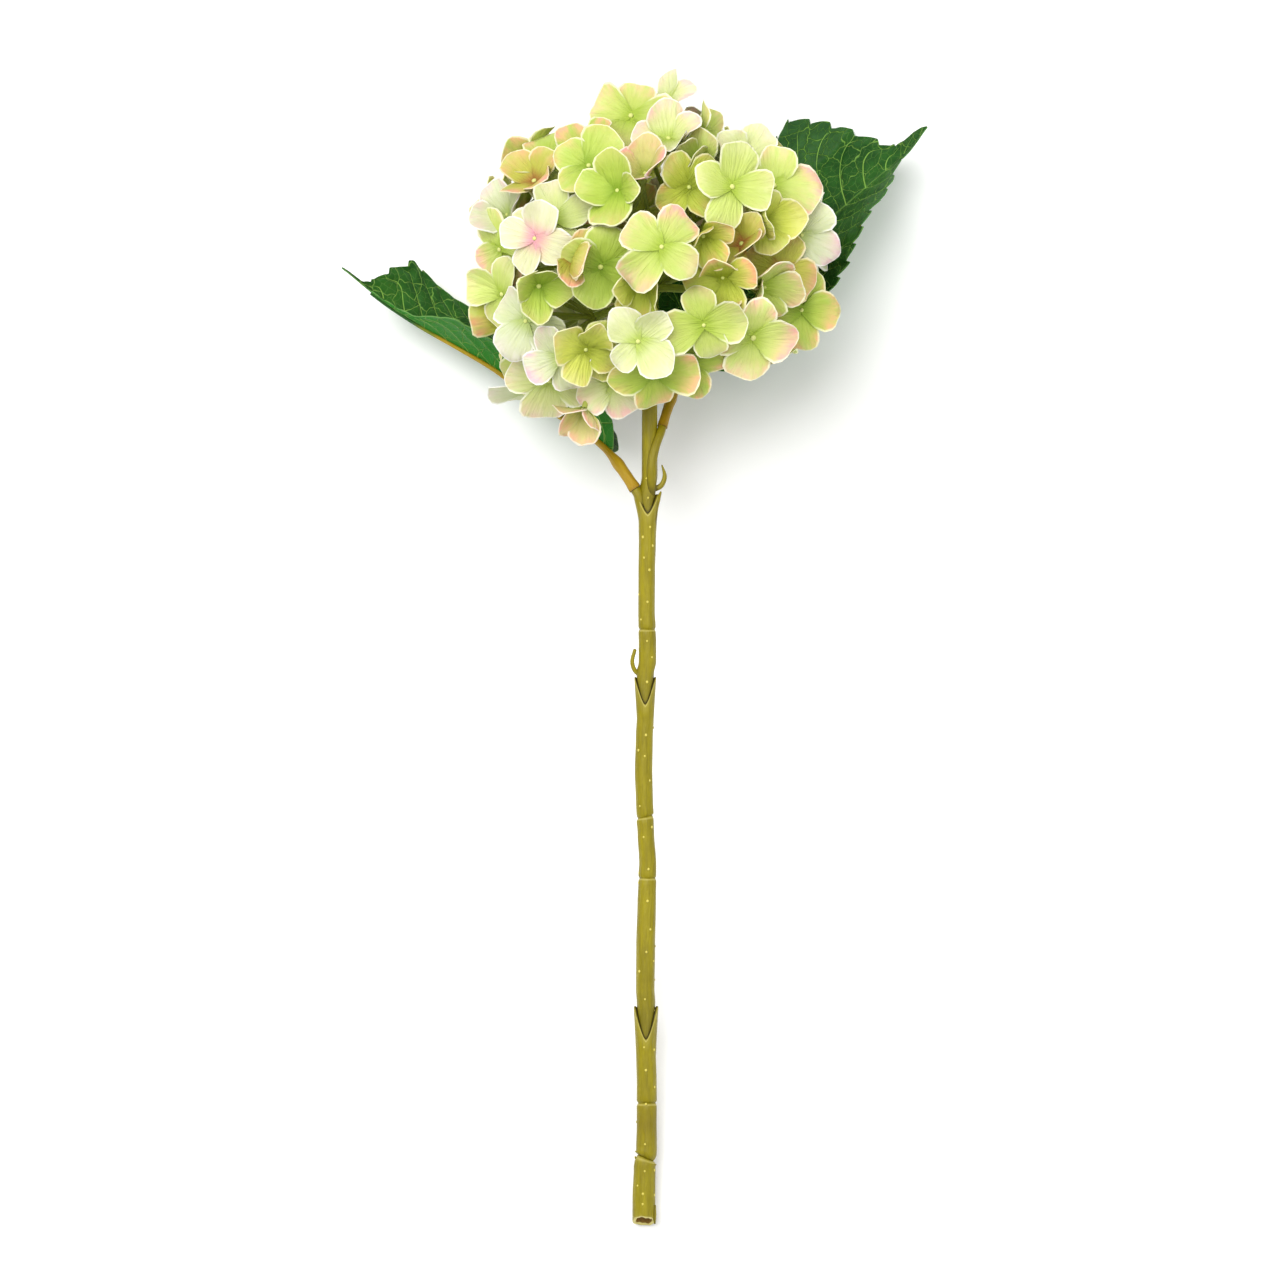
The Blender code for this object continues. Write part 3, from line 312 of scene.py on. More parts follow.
def along_spline(points: Sequence[Sequence[float]], share: float) -> Vector:
    """The point at a share of a smooth curve through the points.

    Args:
        points: The points that the curve passes through.
        share: How far along, 0 to 1, with the same share for each span.

    Returns:
        The point on the curve.
    """
    spans = len(points) - 1
    place = min(max(share, 0.0), 1.0) * spans
    i = min(int(place), spans - 1)
    t = place - i
    p1, p2 = Vector(points[i]), Vector(points[i + 1])
    p0 = Vector(points[i - 1]) if i else p1 * 2 - p2
    p3 = Vector(points[i + 2]) if i + 2 <= spans else p2 * 2 - p1
    return 0.5 * (2 * p1 + (p2 - p0) * t + (2 * p0 - 5 * p1 + 4 * p2 - p3) * t ** 2
                  + (3 * p1 - p0 - 3 * p2 + p3) * t ** 3)


def clamped(value: float) -> float:
    """The value, kept between 0 and 1."""
    return min(1.0, max(0.0, value))


def golden_turn(k: int) -> float:
    """The turn of the point k of a spiral that covers a ball evenly."""
    return k * math.pi * (3 - math.sqrt(5))


def interpolated(table: Sequence[tuple[float, float | Vector]], x: float) -> float | Vector:
    """The value at x of a table of (x, value) pairs, in straight lines between them.

    Args:
        table: Pairs in the order of x, whose values are numbers or vectors.
        x: Where to read the table.

    Returns:
        The value there, and the last one past the end.
    """
    for (x0, v0), (x1, v1) in zip(table, table[1:]):
        if x <= x1:
            t = min(max((x - x0) / (x1 - x0), 0.0), 1.0)
            return v0 + (v1 - v0) * t
    return table[-1][1]


def height_over_floor(point: Vector) -> float:
    """How high a point of the plant's frame lies over the floor."""
    return point.y * math.sin(LIE_ANGLE) + point.z * math.cos(LIE_ANGLE) + CUT_END_RISE


def kept_over_floor(point: Vector, least: float) -> Vector:
    """The point, lifted straight off the floor where it would be nearer than least."""
    up = Vector((0, math.sin(LIE_ANGLE), math.cos(LIE_ANGLE)))
    return point + up * max(0.0, least - height_over_floor(point))


def ring_frames(centres: Sequence[Vector]) -> list[tuple[Vector, Vector]]:
    """Two unit vectors across the path at each centre, carried along it without twist.

    Args:
        centres: The points of the path.

    Returns:
        A sideways and an upward vector for each point.
    """
    frames = []
    side = None
    for i in range(len(centres)):
        ahead = (centres[min(i + 1, len(centres) - 1)] - centres[max(i - 1, 0)]).normalized()
        if side is None:
            side = ahead.orthogonal().normalized()
        side = (side - ahead * side.dot(ahead)).normalized()
        frames.append((side.copy(), ahead.cross(side)))
    return frames


class Workshop:
    """Blender's edit-mode tools, as the templates below use them."""

    @staticmethod
    def start(add: Callable[..., set], **sizes: object) -> Piece:
        """Adds a primitive on its own, with nothing else selected, and opens it for editing.

        Args:
            add: The operator that adds the primitive.
            **sizes: What the operator is given.

        Returns:
            The new object, in edit mode, with all of it selected.
        """
        bpy.ops.object.select_all(action="DESELECT")
        add(**sizes)
        made = bpy.context.active_object
        bpy.ops.object.mode_set(mode="EDIT")
        bpy.ops.mesh.select_all(action="SELECT")
        return made

    @staticmethod
    def choose(made: Piece) -> None:
        """Selects the object on its own and makes it the active one.

        Args:
            made: The object.
        """
        bpy.ops.object.select_all(action="DESELECT")
        made.select_set(True)
        bpy.context.view_layer.objects.active = made

    @staticmethod
    def pick(made: Piece, wanted: Callable[[Vector], bool]) -> None:
        """Selects the points that are wanted, and the edges and faces between them.

        Args:
            made: The object in edit mode.
            wanted: Says of a point's place whether it is wanted.
        """
        bpy.ops.mesh.select_mode(type="VERT")
        bpy.ops.mesh.select_all(action="DESELECT")
        edited = bmesh.from_edit_mesh(made.data)
        for point in edited.verts:
            point.select = wanted(point.co)
        edited.select_flush_mode()
        bmesh.update_edit_mesh(made.data)

    @staticmethod
    def put_away(made: Piece) -> Mesh:
        """Closes the edit, keeps the mesh as a template and takes the object out of the scene.

        Args:
            made: The object in edit mode.

        Returns:
            The template mesh.
        """
        if bpy.context.mode == "EDIT_MESH":
            bpy.ops.object.mode_set(mode="OBJECT")
        template = made.data
        template.use_fake_user = True
        bpy.data.objects.remove(made)
        note_vectors(template, "flat_place", [v.co.copy() for v in template.vertices])
        return template


def note_vectors(mesh: Mesh, name: str, values: Sequence[Sequence[float]]) -> None:
    """Notes one vector for each point of the mesh, for its material to read."""
    noted = mesh.attributes.get(name) or mesh.attributes.new(name, "FLOAT_VECTOR", "POINT")
    noted.data.foreach_set("vector", [c for value in values for c in value])


def note_shade_depth(mesh: Mesh) -> None:
    """Notes how deep each point lies in the flower head, 0 on its outside to 1 inside, for the painted shade
    of its finish.

    Args:
        mesh: A mesh of the head, still in the plant's frame.
    """
    shade_depths = []
    for point in mesh.vertices:
        off = point.co - HEAD_CENTRE
        out = math.hypot(off.x / HEAD_REACH.x, off.y / HEAD_REACH.y, off.z / HEAD_REACH.z)
        shade_depths.append(clamped((PAINTED_SHADE_FROM - out) / PAINTED_SHADE_SPAN) ** 0.8)
    noted = mesh.attributes.new("depth", "FLOAT", "POINT")
    noted.data.foreach_set("value", shade_depths)


def bent_copy(name: str, template: Mesh, bend: Callable[[Vector], Vector]) -> Piece:
    """A copy of a template, with each of its points where bend puts it in the plant's frame."""
    return placed_copy(name, template, [bend(v.co) for v in template.vertices])


def placed_copy(name: str, template: Mesh, points: Sequence[Vector]) -> Piece:
    """A copy of a template with its own mesh and with its points moved.

    Args:
        name: The new object's name.
        template: The mesh to copy.
        points: Where each of its points goes, in the plant's frame.

    Returns:
        The new object, linked to the scene.
    """
    mesh = template.copy()
    mesh.use_fake_user = False
    mesh.name = name
    mesh.vertices.foreach_set("co", [c for point in points for c in point])
    made = bpy.data.objects.new(name, mesh)
    bpy.context.scene.collection.objects.link(made)
    return made


def joined(name: str, parts: Sequence[Piece]) -> Piece:
    """Joins the parts as one object.

    Args:
        name: The name of the whole.
        parts: The objects to join, the first of which is kept.

    Returns:
        The joined object.
    """
    bpy.ops.object.select_all(action="DESELECT")
    for part in parts:
        part.select_set(True)
    bpy.context.view_layer.objects.active = parts[0]
    if len(parts) > 1:
        bpy.ops.object.join()
    parts[0].name = name
    parts[0].data.name = name
    return parts[0]


def handed_over(piece: Piece, material: Material, nodes: Sequence[str]) -> None:
    """Lays a finished piece as the plant lies, dresses it and ties it to the frame.

    Args:
        piece: The piece, still in the plant's frame.
        material: Its finish.
        nodes: The CAD nodes that it stands for.
    """
    piece.data.transform(PLANT_TO_WORLD)
    piece.data.polygons.foreach_set("use_smooth", [True] * len(piece.data.polygons))
    piece.data.set_sharp_from_angle(angle=SHARP_FROM)
    piece.data.materials.clear()
    piece.data.materials.append(material)
    piece.data.update()
    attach(piece, "root")
    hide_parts(*nodes)
    LOG.info("%s: %d faces", piece.name, len(piece.data.polygons))


class Wiring:
    """Adds nodes to one node tree and links them."""

    def __init__(self, tree: NodeTree) -> None:
        """Keeps the tree."""
        self.tree = tree

    def node(self, kind: str, inputs: dict[str | int, Feed] | None = None, **settings: object) -> Node:
        """A new node.

        Args:
            kind: The node's type name.
            inputs: Values or sockets for its inputs, by name or number.
            **settings: Properties of the node.

        Returns:
            The node.
        """
        made = self.tree.nodes.new(kind)
        for name, value in settings.items():
            setattr(made, name, value)
        for key, value in (inputs or {}).items():
            self.feed(made.inputs[key], value)
        return made

    def feed(self, socket: Socket, value: Feed) -> None:
        """Links a socket to an input, or sets the input to a value.

        Args:
            socket: The input.
            value: An output socket, a number or a colour.
        """
        if isinstance(value, Socket):
            self.tree.links.new(value, socket)
        elif socket.type == "RGBA" and not isinstance(value, (int, float)) and len(value) == 3:
            socket.default_value = (*value, 1.0)
        else:
            socket.default_value = value

    def math(self, operation: str, *values: Feed, clamp: bool = False) -> Socket:
        """The result of a Math node, kept between 0 and 1 with clamp."""
        inputs = dict(enumerate(values))
        return self.node("ShaderNodeMath", inputs, operation=operation, use_clamp=clamp).outputs[0]

    def times(self, first: Feed, second: Feed, clamp: bool = False) -> Socket:
        """The product of two values."""
        return self.math("MULTIPLY", first, second, clamp=clamp)

    def scaled(self, value: Feed, by: Feed, plus: Feed, clamp: bool = False) -> Socket:
        """The value times by, plus another value."""
        return self.math("MULTIPLY_ADD", value, by, plus, clamp=clamp)

    def eased(self, value: Feed, low: float, high: float) -> Socket:
        """A smooth step of the value, from 0 at low to 1 at high."""
        inputs = {"Value": value, "From Min": low, "From Max": high}
        return self.node("ShaderNodeMapRange", inputs, interpolation_type="SMOOTHSTEP").outputs["Result"]

    def mix(self, factor: Feed, first: Feed, second: Feed, mode: str = "MIX") -> Socket:
        """Two colours mixed.

        Args:
            factor: How much of the second.
            first: The first colour.
            second: The second colour.
            mode: How they mix.

        Returns:
            The mixed colour's socket.
        """
        made = self.node("ShaderNodeMix", data_type="RGBA", blend_type=mode)
        self.feed(made.inputs[0], factor)
        self.feed(made.inputs[6], first)
        self.feed(made.inputs[7], second)
        return made.outputs[2]

    def noted(self, name: str) -> Node:
        """An Attribute node that reads what one of the note functions wrote."""
        return self.node("ShaderNodeAttribute", attribute_name=name)

    def noise(self, place: Feed, scale: Feed, detail: float, **inputs: Feed) -> Node:
        """A Noise Texture node, with further inputs by name."""
        return self.node("ShaderNodeTexNoise", {"Vector": place, "Scale": scale, "Detail": detail, **inputs})

    def with_painted_shade(self, colour: Feed) -> Socket:
        """The colour with painted shade: darker where a point lies deep in the flower head, as its noted
        depth says.
        """
        depth = self.noted("depth").outputs["Fac"]
        return self.mix(depth, colour, self.mix(1.0, colour, PAINTED_DEEP_SHADE, mode="MULTIPLY"))

    def parts(self, vector: Feed) -> tuple[Socket, ...]:
        """The X, Y and Z of a vector."""
        return tuple(self.node("ShaderNodeSeparateXYZ", {0: vector}).outputs)

    def vector(self, x: Feed, y: Feed, z: Feed) -> Socket:
        """A vector of three values."""
        return self.node("ShaderNodeCombineXYZ", {0: x, 1: y, 2: z}).outputs[0]

    def vectors(self, operation: str, inputs: dict[str | int, Feed]) -> Socket:
        """The result of a Vector Math node with these inputs."""
        return self.node("ShaderNodeVectorMath", inputs, operation=operation).outputs[0]

    def group(self, tree: NodeTree, inputs: dict[str, Feed]) -> Socket:
        """The first output of a node group.

        Args:
            tree: The group to place.
            inputs: Values or sockets for its inputs, by name.

        Returns:
            The output socket.
        """
        made = self.node("ShaderNodeGroup", node_tree=tree)
        for key, value in inputs.items():
            self.feed(made.inputs[key], value)
        return made.outputs[0]


def effect_group(name: str, inputs: dict[str, tuple[str, Feed]]
                 ) -> tuple[NodeTree, Wiring, dict[str, Socket], Callable[[Feed], None]]:
    """A new shader node group with named inputs and one output, Mask.

    Args:
        name: The group's name.
        inputs: The kind and the default of each input.

    Returns:
        The group, its wiring, its input sockets by name, and a function that sets its output.
    """
    tree = bpy.data.node_groups.new(name, "ShaderNodeTree")
    for key, (kind, default) in inputs.items():
        socket = tree.interface.new_socket(key, in_out="INPUT", socket_type=kind)
        if default is not None:
            socket.default_value = default
    tree.interface.new_socket("Mask", in_out="OUTPUT", socket_type="NodeSocketFloat")
    wiring = Wiring(tree)
    entry = wiring.node("NodeGroupInput")
    leave = wiring.node("NodeGroupOutput")
    sockets = {socket.name: socket for socket in entry.outputs}
    return tree, wiring, sockets, lambda value: wiring.feed(leave.inputs[0], value)


@cache
def streaks_group() -> NodeTree:
    """Fine streaks along the Z of a place, as in petals, bark and stalks.

    Returns:
        The group: Place, and the number of streaks Across and of changes Along in each unit.
    """
    kinds = {"Place": ("NodeSocketVector", None), "Across": ("NodeSocketFloat", 10.0),
             "Along": ("NodeSocketFloat", 1.0)}
    tree, wiring, entry, leave = effect_group("fine_streaks", kinds)
    x, y, z = wiring.parts(entry["Place"])
    place = wiring.vector(wiring.times(x, entry["Across"]), wiring.times(y, entry["Across"]),
                          wiring.times(z, entry["Along"]))
    noise = wiring.noise(place, 1.0, 3.0, Roughness=0.6)
    leave(wiring.eased(noise.outputs[0], 0.30, 0.70))
    return tree


@cache
def mottle_group() -> NodeTree:
    """Soft uneven patches, in two sizes, as on leaves, petals and bark.

    Returns:
        The group: Place, and Scale, the number of large patches in each unit.
    """
    kinds = {"Place": ("NodeSocketVector", None), "Scale": ("NodeSocketFloat", 50.0)}
    tree, wiring, entry, leave = effect_group("soft_mottle", kinds)
    large = wiring.noise(entry["Place"], entry["Scale"], 2.0)
    small = wiring.noise(entry["Place"], wiring.times(entry["Scale"], 4.3), 2.0)
    both = wiring.scaled(small.outputs[0], 0.4, wiring.times(large.outputs[0], 0.6))
    leave(wiring.eased(both, 0.36, 0.64))
    return tree


class Finish:
    """What the finishes below share: a material with one Principled BSDF, and what its surface needs."""

    @staticmethod
    def opened(name: str, **constants: Feed) -> tuple[Material, Wiring, Node]:
        """A new material, its wiring and its shader.

        Args:
            name: The material's name.
            **constants: Values of the shader's own sockets, with _ for a space.

        Returns:
            The material, the wiring of its tree and its Principled BSDF.
        """
        material = bpy.data.materials.new(name)
        material.use_nodes = True
        shader = material.node_tree.nodes["Principled BSDF"]
        for key, value in constants.items():
            shader.inputs[key.replace("_", " ")].default_value = value
        return material, Wiring(material.node_tree), shader

    @staticmethod
    def surfaced(wiring: Wiring, shader: Node, colour: Feed, roughness: Feed, height: Feed,
                 depth: float) -> None:
        """Feeds the shader's colour, roughness and normal.

        Args:
            wiring: The material's wiring.
            shader: Its Principled BSDF.
            colour: The base colour.
            roughness: The roughness.
            height: The height map, 0 to 1.
            depth: How deep 1 is, in metres.
        """
        wiring.feed(shader.inputs["Base Color"], colour)
        wiring.feed(shader.inputs["Roughness"], roughness)
        bump = wiring.node("ShaderNodeBump", {"Height": height, "Distance": depth, "Strength": 1.0})
        wiring.feed(shader.inputs["Normal"], bump.outputs[0])


@dataclass(frozen=True)
class PetalFinish(Finish):
    """Thin matt petal: colours by the eye, in the middle, towards the tip, of the blush and of the rim."""

    heart: Colour
    body: Colour
    tip: Colour
    blush: Colour
    rim: Colour
    heart_reach: float
    darker: Colour = (0.81, 0.84, 0.62)
    lined: Colour = (0.86, 0.90, 0.68)
    tone_share: float = 0.92
    vein_share: float = 0.46
    blush_share: float = 1.5
    rim_share: float = 0.75
    relief: float = 0.00060

    def material(self, name: str) -> Material:
        """The finish as a material.

        Args:
            name: The material's name.

        Returns:
            The material. It reads flat_place, a point's place on the flat petal in petal lengths, and
            petal_draws: the petal's tone, its blush and a shift that sets its pattern apart.
        """
        material, wiring, shader = self.opened(name, Subsurface_Weight=0.12, Subsurface_Scale=0.002,
                                               Subsurface_Radius=(1.0, 1.0, 0.5), Specular_IOR_Level=0.22)
        across, along, _ = wiring.parts(wiring.noted("flat_place").outputs["Vector"])
        tone, blush, shift = wiring.parts(wiring.noted("petal_draws").outputs["Vector"])
        rim = wiring.noted("rim").outputs["Fac"]
        fan = wiring.math("DIVIDE", across, wiring.math("ADD", along, 0.35))
        place = wiring.vector(fan, shift, along)
        veins = wiring.group(streaks_group(), {"Place": place, "Across": 12.0, "Along": 1.2})
        broad = wiring.group(streaks_group(), {"Place": place, "Across": 3.2, "Along": 1.2})
        spot = wiring.vector(across, along, shift)
        patches = wiring.group(mottle_group(), {"Place": spot, "Scale": 1.9})
        colour = wiring.mix(wiring.eased(along, 0.04, self.heart_reach), self.heart, self.body)
        outer = wiring.scaled(patches, 0.6, 0.35)
        outer = wiring.times(wiring.eased(along, 0.45, 1.02), outer)
        colour = wiring.mix(outer, colour, self.tip)
        darker = wiring.mix(1.0, colour, self.darker, mode="MULTIPLY")
        colour = wiring.mix(wiring.times(tone, self.tone_share), colour, darker)
        lined = wiring.mix(1.0, colour, self.lined, mode="MULTIPLY")
        colour = wiring.mix(wiring.times(veins, self.vein_share), colour, lined)
        edge = wiring.math("ABSOLUTE", wiring.math("DIVIDE", across, PETAL_WIDTH_SHARE))
        edge = wiring.times(wiring.math("POWER", edge, 3.0), wiring.eased(along, 0.35, 0.75))
        edge = wiring.math("ADD", edge, wiring.math("POWER", along, 3.5), clamp=True)
        one_side = wiring.scaled(broad, 1.3, -0.10, clamp=True)
        own = wiring.times(blush, self.blush_share)
        blushed = wiring.times(wiring.times(edge, one_side), own, clamp=True)
        colour = wiring.mix(blushed, colour, self.blush)
        pale = wiring.times(wiring.eased(rim, 0.72, 0.92), wiring.eased(along, 0.20, 0.55))
        colour = wiring.mix(wiring.times(pale, self.rim_share), colour, self.rim)
        roughness = wiring.scaled(patches, 0.12, 0.50)
        height = wiring.scaled(broad, 0.6, wiring.times(veins, 0.4))
        # Painted shade: the colour darkens where a point lies deep in the head.
        self.surfaced(wiring, shader, wiring.with_painted_shade(colour), roughness, height, self.relief)
        return material


@dataclass(frozen=True)
class LeafFinish(Finish):
    """Leaf with a dark upper face, a lighter under face, pale veins and a pale rim."""

    upper: Colour
    deep: Colour
    under: Colour
    vein: Colour
    rim: Colour
    vein_share: float = 0.80
    rim_share: float = 0.80
    relief: float = 0.00045

    @cache
    def material(self, name: str) -> Material:
        """The finish as a material.

        Args:
            name: The material's name.

        Returns:
            The material. It reads leaf_place: the row out from the rib, -1 to 1, the place along the
            blade and 1 on the under face; leaf_metres, the flattened blade's place in metres; and rim.
        """
        material, wiring, shader = self.opened(name, Specular_IOR_Level=0.11, Subsurface_Weight=0.04,
                                               Subsurface_Scale=0.002)
        row, along, under = wiring.parts(wiring.noted("leaf_place").outputs["Vector"])
        metres = wiring.noted("leaf_metres").outputs["Vector"]
        rim = wiring.noted("rim").outputs["Fac"]
        out = wiring.math("ABSOLUTE", row)
        wander = wiring.noise(metres, 55.0, 1.0)
        waver = wiring.scaled(wander.outputs[0], 0.4, -0.2)
        curve = wiring.scaled(wiring.math("POWER", out, 2.0), -VEIN_CURVE, waver)
        stations = wiring.scaled(along, float(2 * VEINS_A_SIDE + 2), curve)
        phase = wiring.math("SUBTRACT", wiring.math("PINGPONG", stations, 1.0), 1.0)
        off_vein = wiring.math("ABSOLUTE", phase)
        width = wiring.scaled(out, -0.045, 0.095)
        side_vein = wiring.eased(wiring.math("DIVIDE", off_vein, width), 1.0, 0.4)
        side_vein = wiring.times(side_vein, wiring.eased(out, 0.92, 0.78))
        mid_vein = wiring.times(wiring.eased(out, 0.016, 0.006), 0.45)
        bend = wiring.noise(metres, 220.0, 1.0).outputs[1]
        bend = wiring.vectors("ADD", {0: bend, 1: (-0.5, -0.5, -0.5)})
        bend = wiring.vectors("SCALE", {0: bend, "Scale": 0.004})
        place = wiring.vectors("ADD", {0: metres, 1: bend})
        nets = []
        for scale, thin in ((112.0, 0.040), (300.0, 0.060)):
            net = wiring.node("ShaderNodeTexVoronoi", {"Vector": place, "Scale": scale, "Randomness": 0.9},
                              feature="DISTANCE_TO_EDGE", voronoi_dimensions="2D")
            nets.append(wiring.eased(net.outputs["Distance"], thin, 0.0))
        coarse, fine = nets
        lines = wiring.math("MAXIMUM", side_vein, mid_vein)
        lines = wiring.math("MAXIMUM", lines, wiring.times(coarse, 0.80))
        lines = wiring.math("MAXIMUM", lines, wiring.times(fine, 0.20))
        patches = wiring.group(mottle_group(), {"Place": metres, "Scale": 45.0})
        colour = wiring.mix(patches, self.upper, self.deep)
        colour = wiring.mix(under, colour, self.under)
        colour = wiring.mix(wiring.times(lines, self.vein_share), colour, self.vein)
        colour = wiring.mix(wiring.times(wiring.eased(rim, 0.6, 1.0), self.rim_share), colour, self.rim)
        sunk = wiring.math("SUBTRACT", 1.0, lines)
        self.surfaced(wiring, shader, colour, wiring.scaled(patches, 0.16, 0.36), sunk, self.relief)
        return material


@dataclass(frozen=True)
class RodFinish(Finish):
    """Bark or stalk: light and dark streaks along it, a tone towards its foot, painted shade in its creases
    and a painted highlight on the pale lips beside them.
    """

    light: Colour
    dark: Colour
    foot: Colour
    crease_shade: Colour
    rind_and_lip_highlight: Colour
    core: Colour
    core_dark: Colour
    streaks_across: float
    gloss: float
    relief: float = 0.00024

    @cache
    def material(self, name: str) -> Material:
        """The finish as a material.

        Args:
            name: The material's name.

        Returns:
            The material. It reads rod_place, the place on the straightened rod in metres, and rod_marks:
            how much painted shade of the creases a point has (below 0, a painted highlight on a pale lip),
            and how much of the foot's tone and of the pith.
        """
        material, wiring, shader = self.opened(name, Specular_IOR_Level=0.24)
        place = wiring.noted("rod_place").outputs["Vector"]
        crease_shade, foot, pith = wiring.parts(wiring.noted("rod_marks").outputs["Vector"])
        across = self.streaks_across
        streaks = wiring.group(streaks_group(), {"Place": place, "Across": across, "Along": 45.0})
        fine = wiring.group(streaks_group(), {"Place": place, "Across": across * 3.1, "Along": 160.0})
        patches = wiring.group(mottle_group(), {"Place": place, "Scale": 130.0})
        colour = wiring.mix(wiring.scaled(streaks, 0.6, wiring.times(fine, 0.25)),
                            self.light, self.dark)
        colour = wiring.mix(wiring.times(patches, 0.18), colour, self.foot)
        colour = wiring.mix(foot, colour, self.foot)
        # Painted highlight on the pale lips where the mark is below 0, and painted shade in the creases
        # above 0.
        colour = wiring.mix(wiring.times(crease_shade, -1.0), colour, self.rind_and_lip_highlight)
        colour = wiring.mix(crease_shade, colour, self.crease_shade)
        rings = wiring.noise(place, 900.0, 3.0)
        colour = wiring.mix(wiring.eased(pith, 0.15, 0.40), colour, self.rind_and_lip_highlight)
        core = wiring.mix(rings.outputs[0], self.core, self.core_dark)
        colour = wiring.mix(wiring.eased(pith, 0.60, 0.95), colour, core)
        roughness = wiring.scaled(patches, 0.14, self.gloss)
        height = wiring.scaled(streaks, 0.6, wiring.times(fine, 0.4))
        # Painted shade: the colour darkens where a point lies deep in the head.
        self.surfaced(wiring, shader, wiring.with_painted_shade(colour), roughness, height, self.relief)
        return material


@dataclass(frozen=True)
class BeadFinish(Finish):
    """A small raised bead, such as a floret's eye or a dot of the bark, with painted shade round its foot.
    """

    top: Colour
    foot: Colour
    change: float
    relief: float = 0.0001

    def material(self, name: str) -> Material:
        """The finish as a material.

        Args:
            name: The material's name.

        Returns:
            The material. It reads flat_place, whose Z is the height on the unit bead.
        """
        material, wiring, shader = self.opened(name, Specular_IOR_Level=0.35)
        flat = wiring.noted("flat_place").outputs["Vector"]
        _, _, height = wiring.parts(flat)
        grain = wiring.node("ShaderNodeTexCoord")
        patches = wiring.group(mottle_group(), {"Place": grain.outputs["Object"], "Scale": 420.0})
        raised = wiring.scaled(patches, 0.25, height)
        # Painted shade: the foot colour round the bead's foot, the top colour above it.
        colour = wiring.mix(wiring.eased(raised, self.change, self.change + 0.35), self.foot, self.top)
        roughness = wiring.scaled(patches, 0.2, 0.42)
        # Painted shade: the colour darkens where a point lies deep in the head.
        self.surfaced(wiring, shader, wiring.with_painted_shade(colour), roughness, patches, self.relief)
        return material


# The colours of each tint: heart, body, tip, blush and rim
PETAL_COLOURS = {
    Tint.GREEN: ((140, 168, 52), (174, 194, 86), (196, 209, 126), (230, 168, 132), (233, 233, 194)),
    Tint.LIME: ((166, 188, 72), (193, 207, 114), (212, 219, 154), (234, 174, 158), (240, 239, 208)),
    Tint.CREAM: ((182, 200, 102), (212, 218, 162), (228, 228, 202), (232, 188, 176), (242, 241, 226)),
    Tint.WHITE: ((176, 192, 118), (202, 208, 172), (222, 221, 204), (222, 182, 188), (241, 240, 233)),
    Tint.WHITE_ROSE: ((232, 164, 190), (226, 222, 198), (230, 228, 210), (232, 200, 198), (242, 240, 230)),
    Tint.YELLOW: ((152, 162, 46), (195, 202, 88), (216, 218, 142), (232, 168, 124), (238, 233, 192)),
    Tint.PINK: ((176, 184, 88), (212, 206, 146), (228, 204, 168), (228, 152, 146), (240, 227, 208)),
    Tint.BRONZE: ((168, 112, 62), (190, 188, 88), (212, 202, 132), (224, 154, 130), (236, 225, 188)),
}
HEART_REACH = 0.42
HEART_REACHES = {Tint.WHITE_ROSE: 0.54, Tint.BRONZE: 0.44}
PETAL_FINISHES = {
    tint: PetalFinish(*(srgb(*colour) for colour in colours), HEART_REACHES.get(tint, HEART_REACH))
    for tint, colours in PETAL_COLOURS.items()
}
LEAF_FINISH = LeafFinish(upper=srgb(42, 90, 30), deep=srgb(26, 68, 20), under=srgb(42, 118, 30),
                         vein=srgb(132, 178, 78), rim=srgb(104, 148, 78))
# In these finishes the colour for the creases is painted shade, and the pale colour for the pith's rim
# serves also as a painted highlight on pale lips.
BARK_FINISH = RodFinish(light=srgb(150, 138, 14), dark=srgb(116, 106, 6), foot=srgb(104, 88, 8),
                        crease_shade=srgb(48, 40, 6), rind_and_lip_highlight=srgb(212, 200, 118), core=srgb(158, 118, 36),
                        core_dark=srgb(84, 60, 16), streaks_across=430.0, gloss=0.34)
STALK_FINISH = RodFinish(light=srgb(176, 150, 20), dark=srgb(148, 118, 10), foot=srgb(158, 116, 14),
                         crease_shade=srgb(98, 62, 12), rind_and_lip_highlight=srgb(120, 126, 30), core=srgb(44, 92, 30),
                         core_dark=srgb(34, 76, 24), streaks_across=900.0, gloss=0.34)
SHOOT_FINISH = RodFinish(light=srgb(188, 198, 98), dark=srgb(152, 164, 68), foot=srgb(156, 148, 66),
                         crease_shade=srgb(80, 70, 22), rind_and_lip_highlight=srgb(168, 174, 74), core=srgb(168, 174, 74),
                         core_dark=srgb(130, 138, 46), streaks_across=1500.0, gloss=0.48)
EYE_FINISH = BeadFinish(top=srgb(208, 214, 128), foot=srgb(124, 142, 44), change=0.0)
# The dots' dark foot is painted shade, and their pale top is partly their own tone and partly painted
# highlight.
DOT_FINISH = BeadFinish(top=srgb(206, 192, 84), foot=srgb(66, 58, 8), change=0.12)
# How far the petals of some tints stand up, as the least and greatest angle
CLOSINGS = {Tint.BRONZE: (0.05, 0.36), Tint.YELLOW: (0.02, 0.40), Tint.PINK: (0.05, 0.40),
            Tint.GREEN: (-0.10, 0.22)}
OPEN_CLOSINGS = (-0.10, 0.14)


